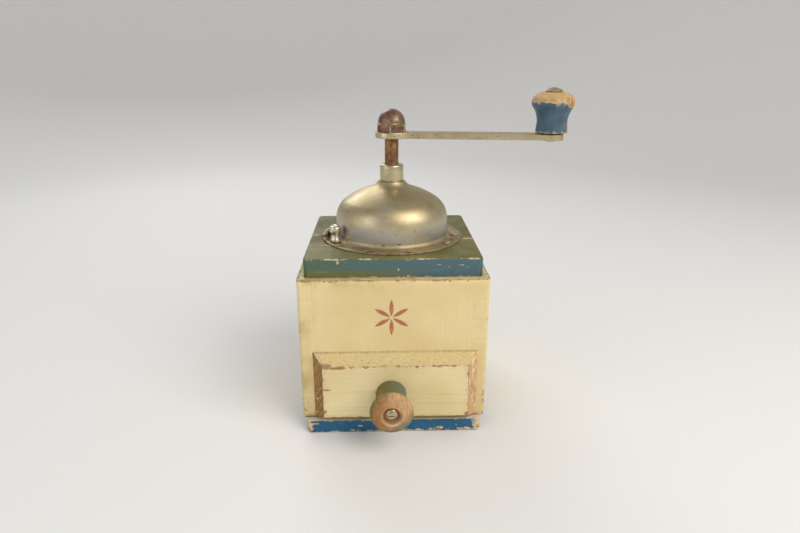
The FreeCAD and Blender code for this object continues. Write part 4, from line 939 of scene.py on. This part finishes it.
def domeShape():
    radius, shoulder, wall = dome["radius"], dome["shoulder"], dome["wall"]
    flat = radius - shoulder
    drop = (flat ** 2 - (dome["rise"] - shoulder) ** 2) / (2 * (dome["rise"] - shoulder))
    crown = drop + dome["rise"]
    middle = wall - drop
    neckOut = dome["neck"] + dome["neckBend"]
    neckUp = middle + math.sqrt((crown + dome["neckBend"]) ** 2 - neckOut ** 2)
    top = neckUp - dome["neckDrop"]
    rim = neckOut - math.sqrt(dome["neckBend"] ** 2 - dome["neckDrop"] ** 2)
    share = crown / (crown + dome["neckBend"])
    blend = shoulder / (crown - shoulder)
    windowTop = dome["window"][3]
    lift = windowTop - wall
    cutReach = flat + math.sqrt(shoulder ** 2 - lift ** 2)
    return turnedShape((
        (dome["bore"], top), (rim, top, dome["neckBend"]),
        (neckOut * share, middle + (neckUp - middle) * share, -crown),
        (flat * (1 + blend), wall + drop * blend, -shoulder), (cutReach, windowTop, -shoulder),
        (radius, wall), (radius, dome["window"][2]), (radius, dome["sheet"] + dome["foot"], dome["foot"]),
        (radius + dome["foot"], dome["sheet"]), (dome["slot"][2], dome["sheet"]),
        (dome["slot"][3], dome["sheet"]), (dome["flange"] - dome["lip"][0], dome["sheet"]),
        (dome["flange"], dome["sheet"] - dome["lip"][1])), dome["steps"])


def cutDome(bm):
    low, high, floor, roof = dome["window"]
    slotLow, slotHigh, slotIn, slotOut = dome["slot"]
    gone = []
    for face in bm.faces:
        spot = face.calc_center_median() / mm
        angle = math.degrees(math.atan2(spot.y, spot.x)) % 360
        reach = math.hypot(spot.x, spot.y)
        if low < angle < high and floor < spot.z < roof:
            gone.append(face)
        if slotLow < angle < slotHigh and spot.z < dome["foot"] and slotIn < reach < slotOut:
            gone.append(face)
    bmesh.ops.delete(bm, geom=gone, context="FACES")


shape = domeShape()
cutDome(shape)
for vert in shape.verts:
    if vert.co.z > dome["waveFrom"] * mm:
        wave = noise.noise(vert.co * dome["waveScale"]) * dome["wave"] * mm
        vert.co += Vector((vert.co.x, vert.co.y, 0)).normalized() * wave
moveShape(shape, Vector((0, 0, domeFoot)))
domePiece = finishPiece("domeSheet", shape, "dome", domeNickel(), dome["sharp"])
wall = domePiece.modifiers.new("sheet", "SOLIDIFY")
wall.thickness = dome["sheet"] * mm * dome["thin"]
wall.offset = -1.0
wall.use_even_offset = True
print("dome built")


# Turned metal pieces

turnings = {
    "collar": {"node": "dome_collar", "steps": 72, "soft": 0.35, "finish": nickel,
               "corners": ((4.45, -4.5), (5.95, -4.5), (5.95, 0), (7.6, 0), (7.6, 10.0), (6.8, 10.8),
                           (4.45, 10.8))},
    "hatchKnob": {"node": "hatch_knob", "steps": 64, "soft": 0.2, "finish": brightNickel,
                  "corners": ((0, -3.6), (1.5, -3.6), (1.5, 0), (3.4, 0), (3.4, 1.32, -8.84), (2.6, 4.62),
                              (3.5, 6.0), (3.65, 6.6), (3.65, 9.0), (3.5, 9.4), (2.6, 10.12), (1.5, 10.12),
                              (1.5, 10.6), (1.1, 11.0), (0, 11.0))},
    "pin": {"node": "handle_pin", "steps": 56, "soft": 0.2, "finish": pinRust,
            "corners": ((0, -0.7), (4.2, -0.7), (4.6, -0.3), (4.6, 0), (2.5, 0), (2.5, 28.8), (5.3, 28.8),
                        (5.3, 29.2, 8.02), (0, 31.2))},
    "washer": {"node": "handle_washer", "steps": 56, "soft": 0.12, "finish": shaftRust, "closed": True,
               "corners": ((2.55, 0), (6.5, 0), (6.5, 0.55), (2.55, 0.55))},
    "shaft": {"node": "main_shaft", "steps": 56, "soft": 0.2, "finish": shaftRust,
              "corners": ((0, 0), (4.4, 0), (4.4, 106.18), (3.05, 106.18), (3.05, 121.2), (0, 121.2))},
}
for pieceName, turning in turnings.items():
    shape = turnedShape(turning["corners"], turning["steps"], turning.get("closed", False))
    softenEdges(shape, turning["soft"])
    lowest = min(corner[1] for corner in turning["corners"]) * mm
    moveShape(shape, footOf(turning["node"]) - Vector((0, 0, lowest)))
    finishPiece(pieceName, shape, turning["node"], turning["finish"])
print("turned metal built")


# Handle: blue paint on the waist, bare wood on the crown

handle = {
    "corners": ((2.55, 0), (9.8, 0), (9.2, 6.1, -15.5), (12.6, 15.6, 7.5), (12.75, 20.0, 9.5), (6.4, 24.0),
                (2.55, 24.0)),
    "blue": (0.064, 0.124, 0.178, 1), "blueDeep": (0.045, 0.084, 0.120, 1), "pale": (0.60, 0.49, 0.31, 1),
    "woodLight": (0.62, 0.42, 0.195, 1), "woodDark": (0.38, 0.22, 0.085, 1), "bruise": (0.17, 0.085, 0.03, 1),
    "paintEnd": 18.2, "relief": 0.12, "gloss": 0.35, "steps": 112, "soft": 0.3, "softAngle": 35,
    "dent": 0.12, "dentScale": 130, "sharp": 42,
}
handleFoot = footOf("handle_knob")


def handlePaint():
    made, spot = newMaterial("handlePaint")
    away = parts(vectorCalc("SUBTRACT", spot, handleFoot))
    aside, up = away[0], away[2]
    broad = cloud(spot, 150.0, 3.0, 0.6)
    nibble = cloud(spread(spot, (620, 620, 330)), 1.0, 5.0, 0.68)
    edge = up + (broad - 0.5) * 0.0034 + (nibble - 0.5) * 0.0024 + ramp(aside, 0.003, 0.0085, 0.0, 0.0032)
    paintEnd = handle["paintEnd"] * mm
    paint = ramp(edge, paintEnd + 0.0003, paintEnd - 0.0003)
    inner = ramp(edge, paintEnd, paintEnd - 0.004)
    rubbed = cloud(spread(spot, (330, 330, 150)), 1.0, 6.0, 0.72)
    thin = ramp(rubbed + inner * 0.2, 0.4, 0.52, 0.3, 1.0)
    corner = ramp(aside, 0.001, 0.008) * ramp(up, 0.011, 0.004) * ramp(rubbed, 0.5, 0.58)
    foot = ramp(up + (rubbed - 0.5) * 0.01, -0.0004, 0.001, 0.15, 1.0)
    paint = paint * foot * thin * (1.0 - corner * 0.6)
    coat = mixed(ramp(broad, 0.35, 0.65), handle["blue"], handle["blueDeep"])
    wood = woodGrain(spot, (380, 380, 70), handle)
    halo = ramp(abs(edge - paintEnd), 0.0011, 0.0005)
    timber = mixed(halo * 0.6, wood["Colour"], handle["pale"])
    bruise = ramp(aside, 0.002, 0.008) * ramp(rubbed, 0.53, 0.6)
    timber = mixed(bruise * 0.8, timber, handle["bruise"])
    colour = mixed(paint, timber, coat)
    height = paint + wood["Height"] * 0.4
    dress(colour, 0.6 - paint * 0.16, height, handle["relief"], gloss=handle["gloss"])
    return made


shape = turnedWood(handle)
moveShape(shape, handleFoot)
finishPiece("handle", shape, "handle_knob", handlePaint(), handle["sharp"])
print("handle built")


# Pieces that keep the shape of the solid; all but the crank arm and the hatch shutter get softened edges

keptShapes = {
    "crankArm": ("crank_arm", armSteel, 0.0), "capNut": ("cap_nut", nutRust, 0.15),
    "pullScrew": ("pull_screw", nickel, 0.12), "flangeScrews": ("flange_screws", screwRust, 0.1),
    "hatchShutter": ("hatch_shutter", nickel, 0.0),
}
keptAngles = {"soft": 28, "sharp": 26}
for pieceName, (nodeName, finish, soft) in keptShapes.items():
    shape = copyOf(nodeName)
    if nodeName == "cap_nut":
        chamferNut(shape)
    if soft:
        softenEdges(shape, soft, keptAngles["soft"])
    finishPiece(pieceName, shape, nodeName, finish, keptAngles["sharp"])

# Inner pieces and the base screws keep their CAD mesh

hidden = {"ring_burr": iron, "cone_burr": iron, "bridge": steel, "bridge_screws": steel, "lower_bush": brass,
          "adjuster_spring": steel, "thrust_ball": steel, "adjusting_screw": steel, "burr_pin": steel,
          "base_screws": steel, "drawer_runners": sawnWood}
for nodeName, finish in hidden.items():
    cadNodes[nodeName].data.materials.clear()
    cadNodes[nodeName].data.materials.append(finish)
print("other pieces dressed")


# Stage: a pale round sweep, soft lamps and the camera

stage = {
    "radius": 1.7, "height": 1.3, "bend": 0.7, "segments": 96, "bendSteps": 14, "cornerAngle": 60,
    "drop": 0.0001, "tone": (0.80, 0.79, 0.77, 1), "rough": 0.8, "sky": (0.93, 0.96, 1.0, 1),
    "skyStrength": 0.42,
}
shape = bmesh.new()
bmesh.ops.create_circle(shape, cap_ends=True, radius=stage["radius"], segments=stage["segments"])
rimEdges = [edge for edge in shape.edges if edge.is_boundary]
raised = bmesh.ops.extrude_edge_only(shape, edges=rimEdges)
raisedVerts = [item for item in raised["geom"] if isinstance(item, bmesh.types.BMVert)]
bmesh.ops.translate(shape, vec=(0, 0, stage["height"]), verts=raisedVerts)
corner = [edge for edge in shape.edges if isSharp(edge, stage["cornerAngle"])]
bmesh.ops.bevel(shape, geom=corner, offset=stage["bend"], offset_type="OFFSET", affect="EDGES",
                segments=stage["bendSteps"], profile=0.5, material=-1)
paleSweep = newMaterial("paleSweep")[0]
shader = paleSweep.node_tree.nodes["Principled BSDF"]
shader.inputs["Base Color"].default_value = stage["tone"]
shader.inputs["Roughness"].default_value = stage["rough"]
sweep = addMesh("sweep", shape, paleSweep)
sweep.location.z = -stage["drop"]

world = bpy.data.worlds.new("studio")
bpy.context.scene.world = world
world.use_nodes = True
background = world.node_tree.nodes["Background"]
background.inputs["Color"].default_value = stage["sky"]
background.inputs["Strength"].default_value = stage["skyStrength"]

lamps = {
    "key": {"spot": (0.62, -0.62, 0.85), "size": 0.8, "power": 9.5, "tone": (1.0, 0.96, 0.90)},
    "fill": {"spot": (-0.85, -0.55, 0.50), "size": 0.8, "power": 2.2, "tone": (0.94, 0.97, 1.0)},
    "rim": {"spot": (-0.35, 0.85, 0.80), "size": 0.6, "power": 3.5, "tone": (1.0, 1.0, 1.0)},
}
lampAim = Vector((0, 0, 0.1))
for lampName, lamp in lamps.items():
    light = bpy.data.lights.new(lampName, "AREA")
    light.energy = lamp["power"]
    light.size = lamp["size"]
    light.color = lamp["tone"]
    holder = addObject(lampName, light)
    holder.location = lamp["spot"]
    holder.rotation_euler = (lampAim - Vector(lamp["spot"])).to_track_quat("-Z", "Y").to_euler()

view = {"spot": (-7.07, -387.7, 222.6), "pitch": 18.94, "yaw": 1.86, "roll": 0.11, "focal": 598.7,
        "frame": 800, "sensor": 36, "near": 0.01}
pitch, yaw, roll = (math.radians(view[key]) for key in ("pitch", "yaw", "roll"))
ahead = Vector((math.sin(yaw) * math.cos(pitch), math.cos(yaw) * math.cos(pitch), -math.sin(pitch)))
right = Vector((math.cos(yaw), -math.sin(yaw), 0))
up = right.cross(ahead)
right, up = right * math.cos(roll) + up * math.sin(roll), up * math.cos(roll) - right * math.sin(roll)
camera = addObject("camera", bpy.data.cameras.new("camera"))
camera.data.sensor_width = view["sensor"]
camera.data.lens = view["focal"] / view["frame"] * view["sensor"]
camera.data.clip_start = view["near"]
turned = Matrix((right, up, -ahead)).transposed().to_4x4()
camera.matrix_world = Matrix.Translation(Vector(view["spot"]) * mm) @ turned
bpy.context.scene.camera = camera
bpy.context.scene.view_settings.view_transform = "Standard"
print("stage set")
